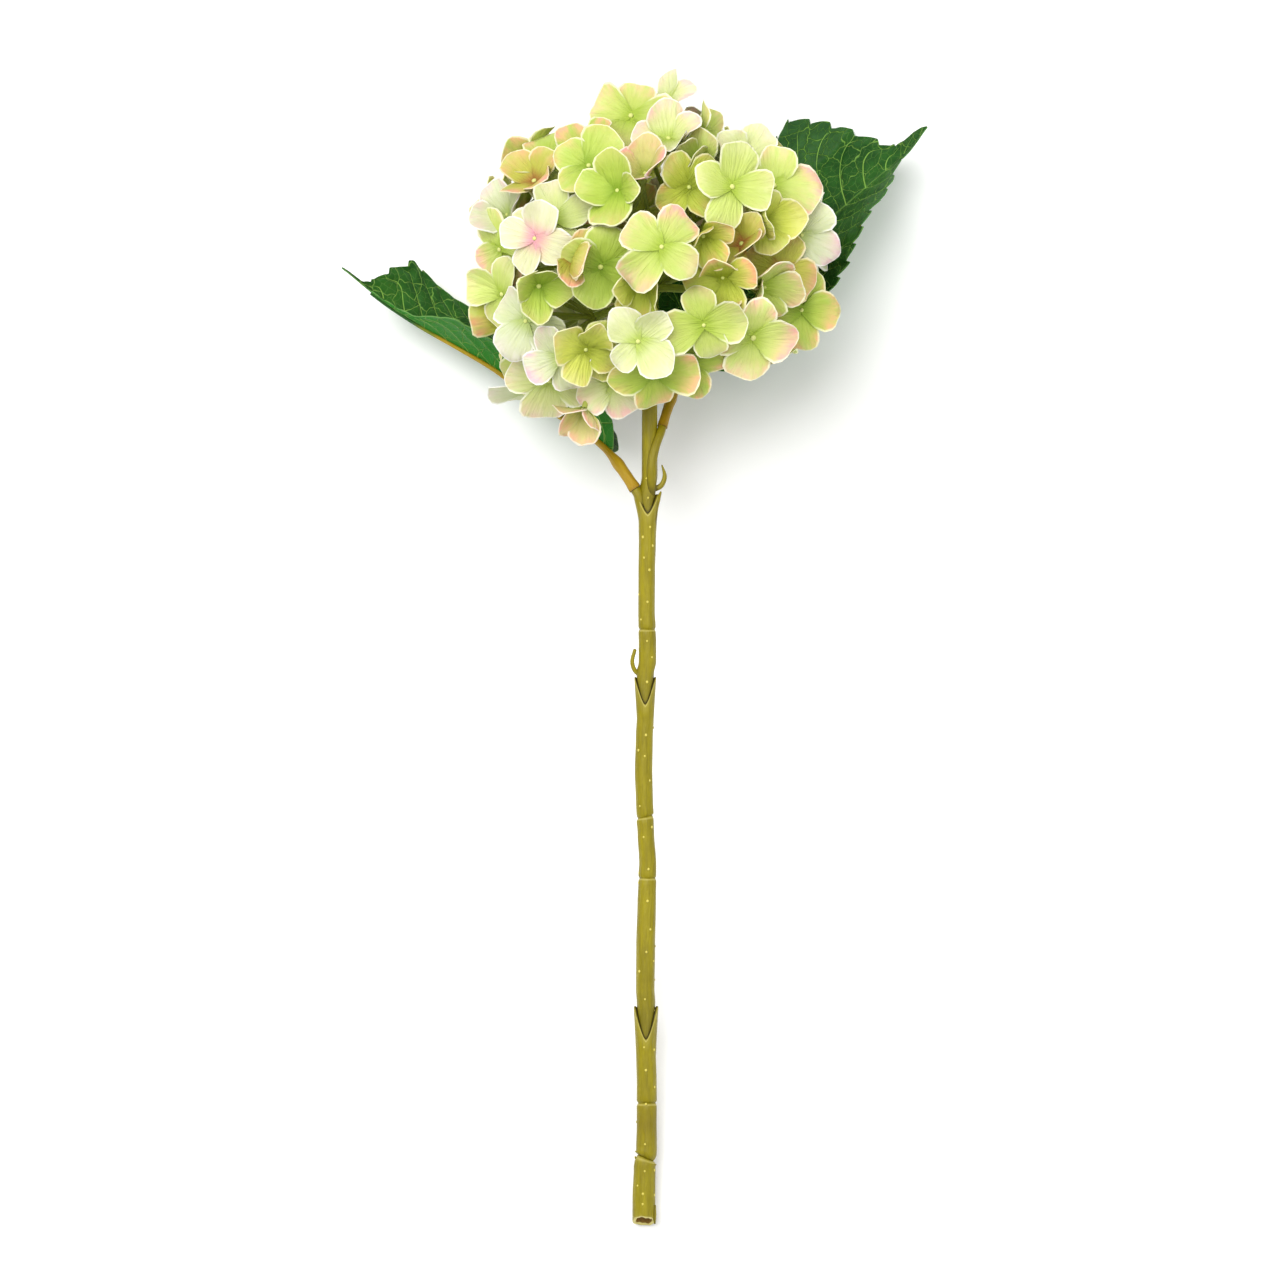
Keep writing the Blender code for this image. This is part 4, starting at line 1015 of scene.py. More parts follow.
class Templates:
    """The shapes that repeat, each modelled once."""

    @staticmethod
    @cache
    def rod(sides: int, rings: int) -> Mesh:
        """A closed round rod of radius 1 with a ring of points at each whole Z from 0 up.

        Args:
            sides: Points in each ring.
            rings: How many rings it has.

        Returns:
            The template mesh.
        """
        made = Workshop.start(bpy.ops.mesh.primitive_circle_add, vertices=sides, radius=1.0,
                              fill_type="NGON")
        for _ in range(rings - 1):
            bpy.ops.mesh.extrude_region_move(TRANSFORM_OT_translate={"value": (0, 0, 1)})
        bpy.ops.mesh.select_all(action="SELECT")
        bpy.ops.mesh.normals_make_consistent(inside=False)
        return Workshop.put_away(made)

    @staticmethod
    def petal() -> Mesh:
        """A flat petal with its thickness, one long and PETAL_WIDTH_SHARE to each side, narrow at its foot.

        Returns:
            The template mesh, whose float attribute rim is 1 on the outline and 0 inside it.
        """
        rows = (0.0, 0.15, 0.34, 0.54, 0.73, 0.87, 0.955)
        widths = (0.20, 0.50, 0.84, 1.0, 0.97, 0.82, 0.54)
        aside = 10
        made = Workshop.start(bpy.ops.mesh.primitive_grid_add, x_subdivisions=4,
                              y_subdivisions=len(rows) - 1, size=2.0)
        for i, (row, width) in enumerate(zip(rows, widths)):
            old = -1 + 2 * i / (len(rows) - 1)
            Workshop.pick(made, lambda p, old=old: abs(p.y - old) < 0.01)
            bpy.ops.transform.resize(value=(width * PETAL_WIDTH_SHARE, 1, 1))
            bpy.ops.transform.translate(value=(0, row - old + aside, 0))
        for width, further in ((0.20, 0.045), (0.05, 0.012)):
            Workshop.pick(made, lambda p, width=width: p.y > aside + 0.92 and abs(p.x) < width)
            bpy.ops.transform.translate(value=(0, further, 0))
        bpy.ops.mesh.select_all(action="SELECT")
        bpy.ops.transform.translate(value=(0, -aside, 0))
        bpy.ops.object.mode_set(mode="OBJECT")
        note_rim(made.data)
        thick = made.modifiers.new("thickness", "SOLIDIFY")
        thick.thickness = PETAL_SHEET
        thick.offset = 0.0
        bpy.ops.object.modifier_apply(modifier=thick.name)
        return Workshop.put_away(made)

    @staticmethod
    def bead(segments: int, rings: int) -> Mesh:
        """A flattened bead of radius 1 whose top is drawn up a little.

        Args:
            segments: Faces round it.
            rings: Faces from pole to pole.

        Returns:
            The template mesh.
        """
        made = Workshop.start(bpy.ops.mesh.primitive_uv_sphere_add, segments=segments, ring_count=rings,
                              radius=1.0)
        bpy.ops.transform.resize(value=(1, 1, 0.75))
        Workshop.pick(made, lambda p: p.z > 0.45)
        bpy.ops.transform.resize(value=(0.8, 0.8, 1.0))
        return Workshop.put_away(made)


def note_rim(sheet: Mesh) -> None:
    """Marks the outline of an open sheet with 1 in a float attribute, rim, for its finish.

    Args:
        sheet: The sheet, before it gets its thickness.
    """
    shared = Counter(key for face in sheet.polygons for key in face.edge_keys)
    outline = {point for key, count in shared.items() if count == 1 for point in key}
    rim = sheet.attributes.new("rim", "FLOAT", "POINT")
    rim.data.foreach_set("value", [float(i in outline) for i in range(len(sheet.vertices))])


def rod(name: str, centres: Sequence[Vector], radii: Sequence[float], sides: int,
        marks: Sequence[Place] | None = None) -> Piece:
    """A round rod along the centres.

    Args:
        name: The object's name.
        centres: The middle of each ring.
        radii: The radius of each ring.
        sides: Points in each ring.
        marks: The crease, foot and pith of each ring, for its finish.

    Returns:
        The rod, with rod_place and rod_marks noted for its finish.
    """
    frames = ring_frames(centres)
    rings = list(zip(centres, radii, frames))
    lengths = [0.0]
    for a, b in zip(centres, centres[1:]):
        lengths.append(lengths[-1] + (b - a).length)

    def bend(point: Vector) -> Vector:
        """A point of the unit rod, on the ring that its Z names."""
        centre, radius, (side, up) = rings[round(point.z)]
        return centre + (side * point.x + up * point.y) * radius

    template = Templates.rod(sides, len(centres))
    made = bent_copy(name, template, bend)
    numbers = [round(v.co.z) for v in template.vertices]
    straight = [(v.co.x * max(radii[k], 0.0005), v.co.y * max(radii[k], 0.0005), lengths[k])
                for v, k in zip(template.vertices, numbers)]
    note_vectors(made.data, "rod_place", straight)
    note_vectors(made.data, "rod_marks", [marks[k] if marks else (0.0, 0.0, 0.0) for k in numbers])
    return made


@dataclass(frozen=True)
class StemRing:
    """One ring round the stem. Order says where it comes among the others, and along where its middle is.

    Rise lifts its two sides, flare widens them, and tilt and slant slope it. The mark of its creases paints
    shade above 0 and a highlight on a pale lip below 0.
    """

    order: float
    along: float
    across: float
    radius: float
    rise: float = 0.0
    flare: float = 0.0
    tilt: float = 0.0
    slant: float = 0.0
    crease_shade: float = 0.0
    pith: float = 0.0

    def point(self, x: float, z: float) -> Vector:
        """The ring's point in this direction from the stem's middle.

        Args:
            x: The direction's cosine, to the right.
            z: Its sine, towards the viewer.

        Returns:
            The point in the plant's frame.
        """
        reach = self.radius + self.flare * abs(x)
        angle = math.atan2(z, x)
        cut = min(1.0, self.pith * 2)
        ridge = (0.012 * math.sin(5 * angle + 31 * self.along) * (1 - cut)
                 - 0.04 * (1 + math.sin(3 * angle)) * cut)
        x, z, sideways = x * reach * (1 + ridge), z * reach * (1 + ridge), abs(x)
        along = self.along + self.rise * sideways ** 1.6 + self.tilt * x + self.slant * z
        along += cut * 0.0003 * (1.6 + math.sin(3 * angle + 1) + 0.6 * math.sin(8 * angle))
        return kept_over_floor(Vector((self.across + x, along, z)), STEM_FLOOR_GAP)

    def towards(self, other: "StemRing", t: float) -> "StemRing":
        """A ring between this one and another.

        Args:
            other: The other ring.
            t: The share of the way to it.

        Returns:
            The new ring.
        """
        eased = t * t * (3 - 2 * t)
        straight = {name: getattr(self, name) * (1 - t) + getattr(other, name) * t
                    for name in ("order", "along", "rise", "flare", "tilt", "slant", "crease_shade", "pith")}
        swollen = {name: getattr(self, name) * (1 - eased) + getattr(other, name) * eased
                   for name in ("across", "radius")}
        return StemRing(**straight, **swollen)


@dataclass
class Stem:
    """The stem with its cut end, joints, side shoots and dots."""

    sides: int = 32
    longest_step: float = 0.0022
    dot_radius: float = 0.00054
    dot_height: float = 0.00052

    def place(self, along: float) -> tuple[float, float]:
        """The stem's across position and radius at this place along it."""
        across = interpolated([(s[0], s[1]) for s in STEM_STATIONS], along)
        return across, interpolated([(s[0], s[2]) for s in STEM_STATIONS], along)

    def rings(self) -> list[StemRing]:
        """The rings that shape the stem, from inside the cut end to the top.

        Returns:
            The rings in order, none further from the next than the longest step.
        """
        made = [StemRing(s[0], *s) for s in STEM_STATIONS]
        for along, depth, tilt in STEM_GROOVES:
            across, radius = self.place(along)
            half = GROOVE_HALF_WIDTH * math.sqrt(depth / USUAL_GROOVE_DEPTH)
            for share in (-1.0, -0.55, -0.22, 0.0, 0.22, 0.55, 1.0):
                here = along + share * half
                dip = depth * (1.6 * (1 - abs(share)) ** 1.7 - 0.12 * (abs(share) == 1.0))
                # Painted shade along each groove's bottom, and painted highlights on the pale lips below it.
                made.append(StemRing(here, here, across, radius - dip, tilt=tilt * (1 - 0.6 * abs(share)),
                                     crease_shade=500 * depth * (share == 0.0) - 0.35 * (share == -0.55),
                                     pith=0.20 * (share == -0.22)))
        for along, rise in LEAF_SCARS:
            across, lower = self.place(along - SCAR_REACH)
            upper = self.place(along + rise + SCAR_REACH)[1]
            # The scar rings paint shade in and above each V, and highlights on its pale lips.
            made += [StemRing(along + rise * share, along + ahead, across,
                              (upper if above else lower) + more, rise * lift, SCAR_LIP * lip, crease_shade=crease_shade)
                     for share, ahead, above, more, lift, lip, crease_shade in SCAR_RINGS]
        made.sort(key=lambda ring: ring.order)
        cut = CUT_SLANT * CUT_RADIUS
        across = STEM_STATIONS[0][1]
        end = [
            StemRing(0.0, cut + PITH_DEPTH, across, PITH_RADIUS * 0.9, slant=CUT_SLANT, pith=1.0),
            StemRing(0.0, cut + PITH_DEPTH * 0.2, across, PITH_RADIUS * 0.97, slant=CUT_SLANT, pith=1.0),
            StemRing(0.0, cut, across, PITH_RADIUS * 1.04, slant=CUT_SLANT, pith=0.5),
            StemRing(0.0, cut, across, CUT_RADIUS * 0.95, slant=CUT_SLANT, pith=0.5),
            StemRing(0.0, cut + 0.0003, across, CUT_RADIUS, slant=CUT_SLANT, pith=0.2),
        ]
        shaped = end + made
        fine = [shaped[0]]
        for before, after in zip(shaped, shaped[1:]):
            steps = max(1, math.ceil(abs(after.along - before.along) / self.longest_step))
            fine += [before.towards(after, k / steps) for k in range(1, steps + 1)]
        return fine

    def trunk(self) -> Piece:
        """The stem itself, bent from one long unit rod.

        Returns:
            The stem, with rod_place and rod_marks noted for its finish.
        """
        rings = self.rings()
        template = Templates.rod(self.sides, len(rings))
        made = bent_copy("stem_bark", template, lambda p: rings[round(p.z)].point(p.x, p.y))
        Workshop.choose(made)
        bpy.ops.object.mode_set(mode="EDIT")
        bpy.ops.mesh.select_all(action="SELECT")
        bpy.ops.mesh.normals_make_consistent(inside=False)
        bpy.ops.object.mode_set(mode="OBJECT")
        note_vectors(made.data, "rod_place",
                     [(v.co.x - rings[round(f.co.z)].across, v.co.z, v.co.y)
                      for v, f in zip(made.data.vertices, template.vertices)])
        marks = []
        for flat in template.vertices:
            ring = rings[round(flat.co.z)]
            foot = max(0.0, 1 - abs(ring.along - FOOT_TONE_AT) / FOOT_TONE_REACH) * 0.5
            marks.append((ring.crease_shade, foot, ring.pith))
        note_vectors(made.data, "rod_marks", marks)
        return made

    def shoot(self, name: str, points: Sequence[tuple[Place, float]], sides: int,
              leaf: "Leaf | None" = None) -> Piece:
        """A side shoot through (point, radius) pairs, which bears a leaf on a thin peg or ends round.

        Args:
            name: The object's name.
            points: The points and radii.
            sides: Points in each ring.
            leaf: The leaf that it bears.

        Returns:
            The shoot.
        """
        pairs = [(Vector(p), r) for p, r in points]
        if leaf:
            start = leaf.frame(0.0)[0]
            out = (leaf.frame(RIB_END / leaf.rod_steps)[0] - start).normalized()
            end = start - out * SEAT_GAP
            peg = leaf.peg_radius
            pairs += [(end - out * STUB_END, leaf.stalk_radius * 0.92), (end, leaf.stalk_radius * 0.86)]
        count = 5 * (len(pairs) - 1)
        shares = [k / count for k in range(count + 1)]
        centres = [along_spline([p for p, _ in pairs], share) for share in shares]
        spaced = [(k / (len(pairs) - 1), radius) for k, (_, radius) in enumerate(pairs)]
        radii = [interpolated(spaced, share) for share in shares]
        marks = [(0.0, 0.15, 0.0)] * len(centres)
        if leaf:
            centres += [end + out * 0.0001, end + out * PEG_LENGTH]
            radii += [peg, peg * 0.8]
            radii[-3] *= 1.04
            # The peg, hidden in the socket, gets the painted shade of the creases.
            marks += [(1.0, 0.0, 0.0)] * 2
        else:
            tip = (centres[-1] - centres[-2]).normalized()
            centres += [centres[-1] + tip * radii[-1] * 0.5, centres[-1] + tip * radii[-1] * 0.8]
            radii += [radii[-1] * 0.8, radii[-1] * 0.35]
            marks += [(0.0, 0.5, 0.0)] * 2
        made = rod(name, centres, radii, sides, marks)
        # Painted shade where the shoot meets the stem, fading out over JOINT_SHADE.
        for vertex, noted in zip(made.data.vertices, made.data.attributes["rod_marks"].data):
            middle, radius = self.place(vertex.co.y)
            off = abs(math.hypot(vertex.co.x - middle, vertex.co.z) - radius)
            noted.vector.x = max(noted.vector.x, 0.7 * (1 - off / JOINT_SHADE))
        return made

    def dots(self) -> Piece:
        """The raised dots: those seen in the photograph in front, and spread by a seeded rule behind.

        Returns:
            The dots, joined.
        """
        bead = Templates.bead(10, 6)
        places = []
        for across, along in FACING_DOTS:
            middle, radius = self.place(along / 1000)
            x = max(-0.97, min(0.97, (across / 1000 - middle) / radius))
            places.append((along / 1000, math.acos(x)))
        draw = random.Random(HEAD_SEED)
        for k in range(DOT_COUNT):
            along = DOTS_FROM + DOTS_SPAN * (k + draw.uniform(0.1, 0.9)) / DOT_COUNT
            turn = draw.uniform(0, 2 * math.pi)
            if math.sin(turn) < 0.3:
                places.append((along, turn))
        made = []
        for k, (along, turn) in enumerate(places):
            middle, radius = self.place(along)
            out = Vector((math.cos(turn), 0, math.sin(turn)))
            foot = Vector((middle, along, 0)) + out * radius * 0.985
            size = self.dot_radius * (0.8 + 0.35 * math.sin(7.0 * k) ** 2)
            across = Vector((0, 1, 0)).cross(out)

            def bend(p: Vector, foot: Vector = foot, out: Vector = out, size: float = size,
                     across: Vector = across) -> Vector:
                """A point of the bead, on the bark."""
                return (foot + across * p.x * size + Vector((0, 1.15 * size * p.y, 0))
                        + out * p.z * self.dot_height)

            made.append(bent_copy(f"dot_{k}", bead, bend))
        return joined("bark_dots", made)

    def build(self, left: "Leaf", right: "Leaf") -> None:
        """Builds and dresses the stem.

        Args:
            left: The left leaf, whose stalk the left stub bears.
            right: The right leaf.
        """
        parts = [
            self.trunk(),
            self.shoot("left_stub", LEFT_STUB, 28, left),
            self.shoot("right_stub", RIGHT_STUB, 28, right),
            self.shoot("right_horn", RIGHT_HORN, 12),
            self.shoot("right_stipule", RIGHT_STIPULE, 12),
            self.shoot("left_stipule", LEFT_STIPULE, 12),
            self.shoot("cut_strand", CUT_STRAND, 8),
        ]
        handed_over(joined("stem_bark", parts), BARK_FINISH.material("olive_bark"), ["stem"])
        handed_over(self.dots(), DOT_FINISH.material("bark_dots"), ["stem"])


@dataclass
class Leaf:
    """One leaf: its blade over the route of its stalk, and the stalk with its rib. Angles are in degrees.

    The outlines give the width of its left and right half along the blade, as shares of the half width.
    """

    side_name: str
    route_points: Sequence[Place]
    turn: Curve
    outlines: tuple[Curve, Curve]
    half_width: float
    fold: float
    arch: float
    blade_start: float
    stalk_radius: float
    peg_radius: float
    teeth_from: tuple[float, float] = (0.0, 0.0)
    rows: int = 22
    stations: int = 200
    rod_steps: int = 22
    stalk_rings: int = 90
    stalk_sides: int = 20
    route: list[tuple[float, Vector]] = field(init=False)

    def __post_init__(self) -> None:
        """Measures the route, so that equal shares of it are equally long."""
        fine = [along_spline(self.route_points, k / 120) for k in range(121)]
        lengths = [0.0]
        for a, b in zip(fine, fine[1:]):
            lengths.append(lengths[-1] + (b - a).length)
        self.length = lengths[-1]
        self.route = [(length / lengths[-1], point) for length, point in zip(lengths, fine)]

    def frame(self, share: float) -> tuple[Vector, Vector, Vector, Vector]:
        """The route's point at a share of it, and how the blade lies there.

        Args:
            share: The share of the route's length.

        Returns:
            The point, and unit vectors ahead, to the left and up from the upper face.
        """
        point = interpolated(self.route, share)
        before = interpolated(self.route, max(share - 0.02, 0.0))
        after = interpolated(self.route, min(share + 0.02, 1.0))
        ahead = (after - before).normalized()
        left = Vector((0, 0, 1)).cross(ahead).normalized()
        up = ahead.cross(left)
        turn = math.radians(interpolated(self.turn, share))
        turned_up = up * math.cos(turn) + left * math.sin(turn)
        return point, ahead, turned_up.cross(ahead), turned_up

    def rod_radius(self, share: float) -> float:
        """The radius of the stalk and of its rib.

        Args:
            share: The share of the route's length.

        Returns:
            The radius there, in metres.
        """
        under = min(1.0, share / self.blade_start)
        thin = max(0.0, (share - self.blade_start * 0.5) / (RIB_END - self.blade_start * 0.5))
        return self.stalk_radius * (1 - 0.40 * under) * (1 - 0.66 * thin)

    def teeth_start(self, side: float) -> float:
        """The place from which this half's edge has teeth: 1 is the left half and -1 the right one."""
        return self.teeth_from[0] if side > 0 else self.teeth_from[1]

    def toothed(self, place: float, side: float) -> float:
        """How far a half's edge stands out for its teeth, which lean towards the tip.

        Args:
            place: How far along the blade.
            side: 1 for its left half and -1 for its right one.

        Returns:
            The distance in metres, below 0 in a notch.
        """
        fade = max(0.0, min(1.0, (place - self.teeth_start(side)) * 9, (TAIL_START - place) * 10))
        phase = place * TEETH_A_SIDE % 1.0
        if phase < NOTCH_PLACE:
            share = phase / NOTCH_PLACE
            return fade * (TOOTH_REACH - (TOOTH_REACH + TOOTH_NOTCH) * share)
        share = (phase - NOTCH_PLACE) / (1 - NOTCH_PLACE)
        return fade * (-TOOTH_NOTCH + (TOOTH_REACH + TOOTH_NOTCH) * (1 - (1 - share) ** 2))

    def relief(self, place: float, row: float) -> float:
        """How far the blade bulges between its side veins, and dips along them and its rib.

        Args:
            place: How far along the blade.
            row: How far out from the rib.

        Returns:
            The height in metres, below 0 in a dip.
        """
        fade = min(1.0, place * 6, max(0.0, (TAIL_START - place) * 8))
        phase = (place * (2 * VEINS_A_SIDE + 2) - VEIN_CURVE * row ** 2) % 2.0
        off_vein = abs(phase - 1.0)
        bulge = -1 + 2 * (1 - (1 - off_vein) ** 2.2)
        puckered = 0.00016 * math.sin(place * 61 + row * 9) * math.sin(row * 17 + place * 23)
        return (VEIN_RELIEF * fade * bulge * min(1.0, row * 5) * (1.0 - 0.6 * row ** 6)
                + puckered * min(1.0, row * 4) * fade)

    def blade_point(self, place: float, side: float, row: float) -> tuple[Vector, float, float]:
        """A point of the blade's middle surface.

        Args:
            place: How far along the blade, from 0 at its foot to 1 at its tip.
            side: 1 for its left half and -1 for its right one.
            row: How far out, from 0 at the rib to 1 at the edge.

        Returns:
            The point, how far out it is and how far along, in metres.
        """
        leaning = place + VEIN_SLANT * row * math.sin(math.pi * place)
        share = self.blade_start + (1 - self.blade_start) * leaning
        point, ahead, left, up = self.frame(share)
        tooth = self.toothed(place, side) * max(0.0, (row - 0.80) / 0.20)
        outline = self.outlines[0] if side > 0 else self.outlines[1]
        reach = row * self.half_width * interpolated(outline, leaning) + tooth
        fold = math.radians(self.fold)
        out = left * (side * math.cos(fold)) + up * math.sin(fold)
        arch = -self.arch * reach ** 2 / self.half_width
        end = clamped((place - BLADE_END_START) / BLADE_END_SPAN)
        over = (self.rod_radius(min(share, RIB_END)) * (0.5 + 0.5 * end) + SEAT_GAP * end
                + BLADE_THICKNESS / 2)
        lift = over + arch + self.relief(place, row)
        made = point + out * reach + up * lift + ahead * (1.2 * max(tooth, 0.0))
        made = kept_over_floor(made, FLOOR_GAP + BLADE_THICKNESS / 2 + row * 0.0002)
        return made, reach, leaning * self.length * (1 - self.blade_start)

    def blade(self) -> Piece:
        """The blade, bent from a flat grid and thickened.

        Returns:
            The blade, with leaf_place, leaf_metres and rim noted for its finish.
        """
        sheet = Workshop.start(bpy.ops.mesh.primitive_grid_add, x_subdivisions=2 * self.rows,
                               y_subdivisions=self.stations, size=2.0)
        flat = Workshop.put_away(sheet)
        spots = [(v.co.copy(), abs(v.co.x) ** 0.9, (v.co.y + 1) / 2) for v in flat.vertices]
        placed = [self.blade_point(place, math.copysign(1, p.x), row) for p, row, place in spots]
        found = iter(placed)
        made = bent_copy(f"leaf_{self.side_name}_blade", flat, lambda _: next(found)[0])
        metres = [(math.copysign(reach, p.x), along, 0.0)
                  for (p, _, _), (_, reach, along) in zip(spots, placed)]
        note_vectors(made.data, "leaf_metres", metres)
        places = [(math.copysign(row, p.x), place, 0.0) for p, row, place in spots]
        note_vectors(made.data, "leaf_place", places)
        note_rim(made.data)
        for noted, (p, _, place) in zip(made.data.attributes["rim"].data, spots):
            noted.value *= 1.0 if place < self.teeth_start(p.x) else 0.75
        thick = made.modifiers.new("thickness", "SOLIDIFY")
        thick.thickness = BLADE_THICKNESS * 0.6
        thick.offset = 0.0
        Workshop.choose(made)
        bpy.ops.object.modifier_apply(modifier=thick.name)
        self.note_under_face(made.data, len(spots))
        return made

    def note_under_face(self, mesh: Mesh, count: int) -> None:
        """Marks the points of the blade's under face in leaf_place.

        Args:
            mesh: The thickened blade.
            count: The points of the sheet that it was thickened from.
        """
        noted = mesh.attributes["leaf_place"].data
        middle = count // 2
        up = self.frame(self.blade_start + (1 - self.blade_start) * 0.5)[3]
        first_is_upper = (mesh.vertices[middle].co - mesh.vertices[middle + count].co).dot(up) > 0
        for i in range(len(mesh.vertices)):
            if (i >= count) == first_is_upper:
                row, place, _ = noted[i].vector
                noted[i].vector = (row, place, 1.0)

    def stalk(self) -> Piece:
        """The stalk, with the socket that sits on the stub's peg, and its rib under the blade.

        Returns:
            The stalk.
        """
        shares = [RIB_END * i / self.stalk_rings for i in range(self.stalk_rings + 1)]
        centres = [self.frame(share)[0] for share in shares]
        lumps = [(0.05 * math.sin(95 * share) + 0.04 * math.sin(161 * share + 1)) * max(0.0, 1 - 4 * share)
                 + SLEEVE_SWELL * math.exp(-((share - SLEEVE_SWELL_AT) / SLEEVE_SWELL_REACH) ** 2)
                 for share in shares]
        radii = [self.rod_radius(share) * (1 + lump) for share, lump in zip(shares, lumps)]
        ahead = (centres[1] - centres[0]).normalized()
        bore = self.peg_radius + PEG_SPARE
        inside = [centres[0] + ahead * (PEG_LENGTH + 2 * SEAT_GAP), centres[0] + ahead * 0.0002, centres[0]]
        radii[0] *= 1.06
        radii = [bore, bore, bore * 1.05] + [radii[0] * 0.97] + radii[1:]
        centres = inside + centres
        # The socket and the stalk's first ring get painted shade where the stalk meets the stub.
        marks = [(1.0, 0.0, 0.0)] * 3 + [(0.35 if share == 0 else 0.0, max(0.0, 0.4 - share * 1.2),
                                          clamped((share - RIB_GREEN_START) / RIB_GREEN_SPAN))
                                         for share in shares]
        return rod(f"leaf_{self.side_name}_stalk", centres, radii, self.stalk_sides, marks)

    def build(self) -> None:
        """Builds and dresses the leaf."""
        green = LEAF_FINISH.material("leaf_green_veined")
        brown = STALK_FINISH.material("stalk_yellow_brown")
        handed_over(self.blade(), green, [f"leaf_{self.side_name}"])
        handed_over(self.stalk(), brown, [f"leaf_stalk_{self.side_name}"])


@dataclass(frozen=True)
class PetalShape:
    """How one petal is bent: stand and bow are angles in radians, and the rest are shares of its length."""

    stand: float
    bow: float
    curl: float
    keel: float
    wide: float
    recurve: float
    twist: float
    ripple: float
    skew: float
    phase: float
    second: float
    layer: float

    @classmethod
    def drawn(cls, draw: random.Random, stand: float, bow: float, layer: float) -> "PetalShape":
        """A petal's form by seeded draws.

        Args:
            draw: The floret's draws.
            stand: How far it stands up from its foot.
            bow: How far it bends up from there to its tip.
            layer: How far it lies over its neighbours in the same floret.

        Returns:
            The form.
        """
        return cls(stand=stand, bow=bow, curl=draw.uniform(-0.10, 0.36), keel=draw.uniform(-0.08, 0.12),
                   wide=draw.uniform(0.96, 1.18), recurve=draw.uniform(-0.30, 1.05),
                   twist=draw.uniform(-0.22, 0.22), ripple=draw.uniform(0.012, 0.044),
                   skew=draw.uniform(-0.08, 0.08), phase=draw.uniform(0, 6.28), second=draw.uniform(0, 6.28),
                   layer=layer)

    def points(self, template: Mesh, tilt: float) -> list[Vector]:
        """The petal's points from its foot: across, outwards and up, in petal lengths.

        Args:
            template: The flat petal.
            tilt: The angle that it is tipped by, to keep clear of what is near.

        Returns:
            A point for each of the template's.
        """
        start = self.stand + 0.5 * tilt
        bow = self.bow + 0.7 * tilt
        bow = bow if abs(bow) > 0.01 else 0.01
        made = []
        for vertex in template.vertices:
            x, y, thick = vertex.co
            u = x / PETAL_WIDTH_SHARE
            margin = min(1.0, max(abs(u), y) ** 3)
            wave = self.ripple * margin * (math.sin(self.phase + 5.2 * u + 3.0 * y)
                                           + 0.8 * math.sin(self.second + 9.0 * y) * u)
            off = (self.curl * u * u + self.keel * abs(u) + self.twist * u) * y + wave + thick
            off -= self.recurve * max(0.0, y - 0.55) ** 2
            run = y * (1 + 0.035 * math.sin(self.second + 4 * u))
            angle = start + bow * run
            out = (math.sin(angle) - math.sin(start)) / bow - off * math.sin(angle)
            up = (math.cos(start) - math.cos(angle)) / bow + off * math.cos(angle)
            across = x * self.wide * (1 + 0.07 * math.sin(self.phase + 6 * y)) + self.skew * y ** 2
            made.append(Vector((across, out, up + self.layer * (1.2 - y) / PETAL_LENGTH)))
        return made


class Crowd:
    """The petals and eyes placed so far, which the next petals keep clear of, and the box they stay in."""

    def __init__(self, faces: Sequence[Sequence[int]]) -> None:
        """Starts empty.

        Args:
            faces: The faces of every petal, as the numbers of its points.
        """
        self.faces = faces
        self.placed: list[tuple[Vector, BVHTree]] = []
        self.low, self.high = (Vector(corner) for corner in CAD_BOX)

    def add(self, pieces: Sequence[Piece]) -> None:
        """Adds finished pieces.

        Args:
            pieces: The petals or eyes, still in the plant's frame.
        """
        for piece in pieces:
            points = [v.co for v in piece.data.vertices]
            middle = sum(points, Vector()) / len(points)
            tree = BVHTree.FromPolygons(points, [face.vertices for face in piece.data.polygons])
            self.placed.append((middle, tree))

    def crossings(self, points: Sequence[Vector]) -> int:
        """How much of a petal crosses what is placed, or leaves the box.

        Args:
            points: The petal's points.

        Returns:
            The pairs of faces that cross, with each point outside the box counted as nine of them.
        """
        middle = sum(points, Vector()) / len(points)
        own = BVHTree.FromPolygons(points, self.faces)
        crossed = sum(len(own.overlap(tree)) for place, tree in self.placed
                      if (place - middle).length < NEIGHBOUR_REACH)
        for point in points:
            at = PLANT_TO_WORLD @ point
            crossed += 9 * any(not low <= c <= high for low, c, high in zip(self.low, at, self.high))
        return crossed

    def clear_of(self, options: Iterable[Sequence[Vector]]) -> Sequence[Vector]:
        """The first of the options that crosses nothing, or else the one that crosses least.

        Args:
            options: The points of a petal in each way that it may lie, the best ones first.

        Returns:
            The points of the chosen way.
        """
        best, least = None, math.inf
        for points in options:
            crossed = self.crossings(points)
            if crossed < least:
                best, least = points, crossed
            if not crossed:
                break
        return best


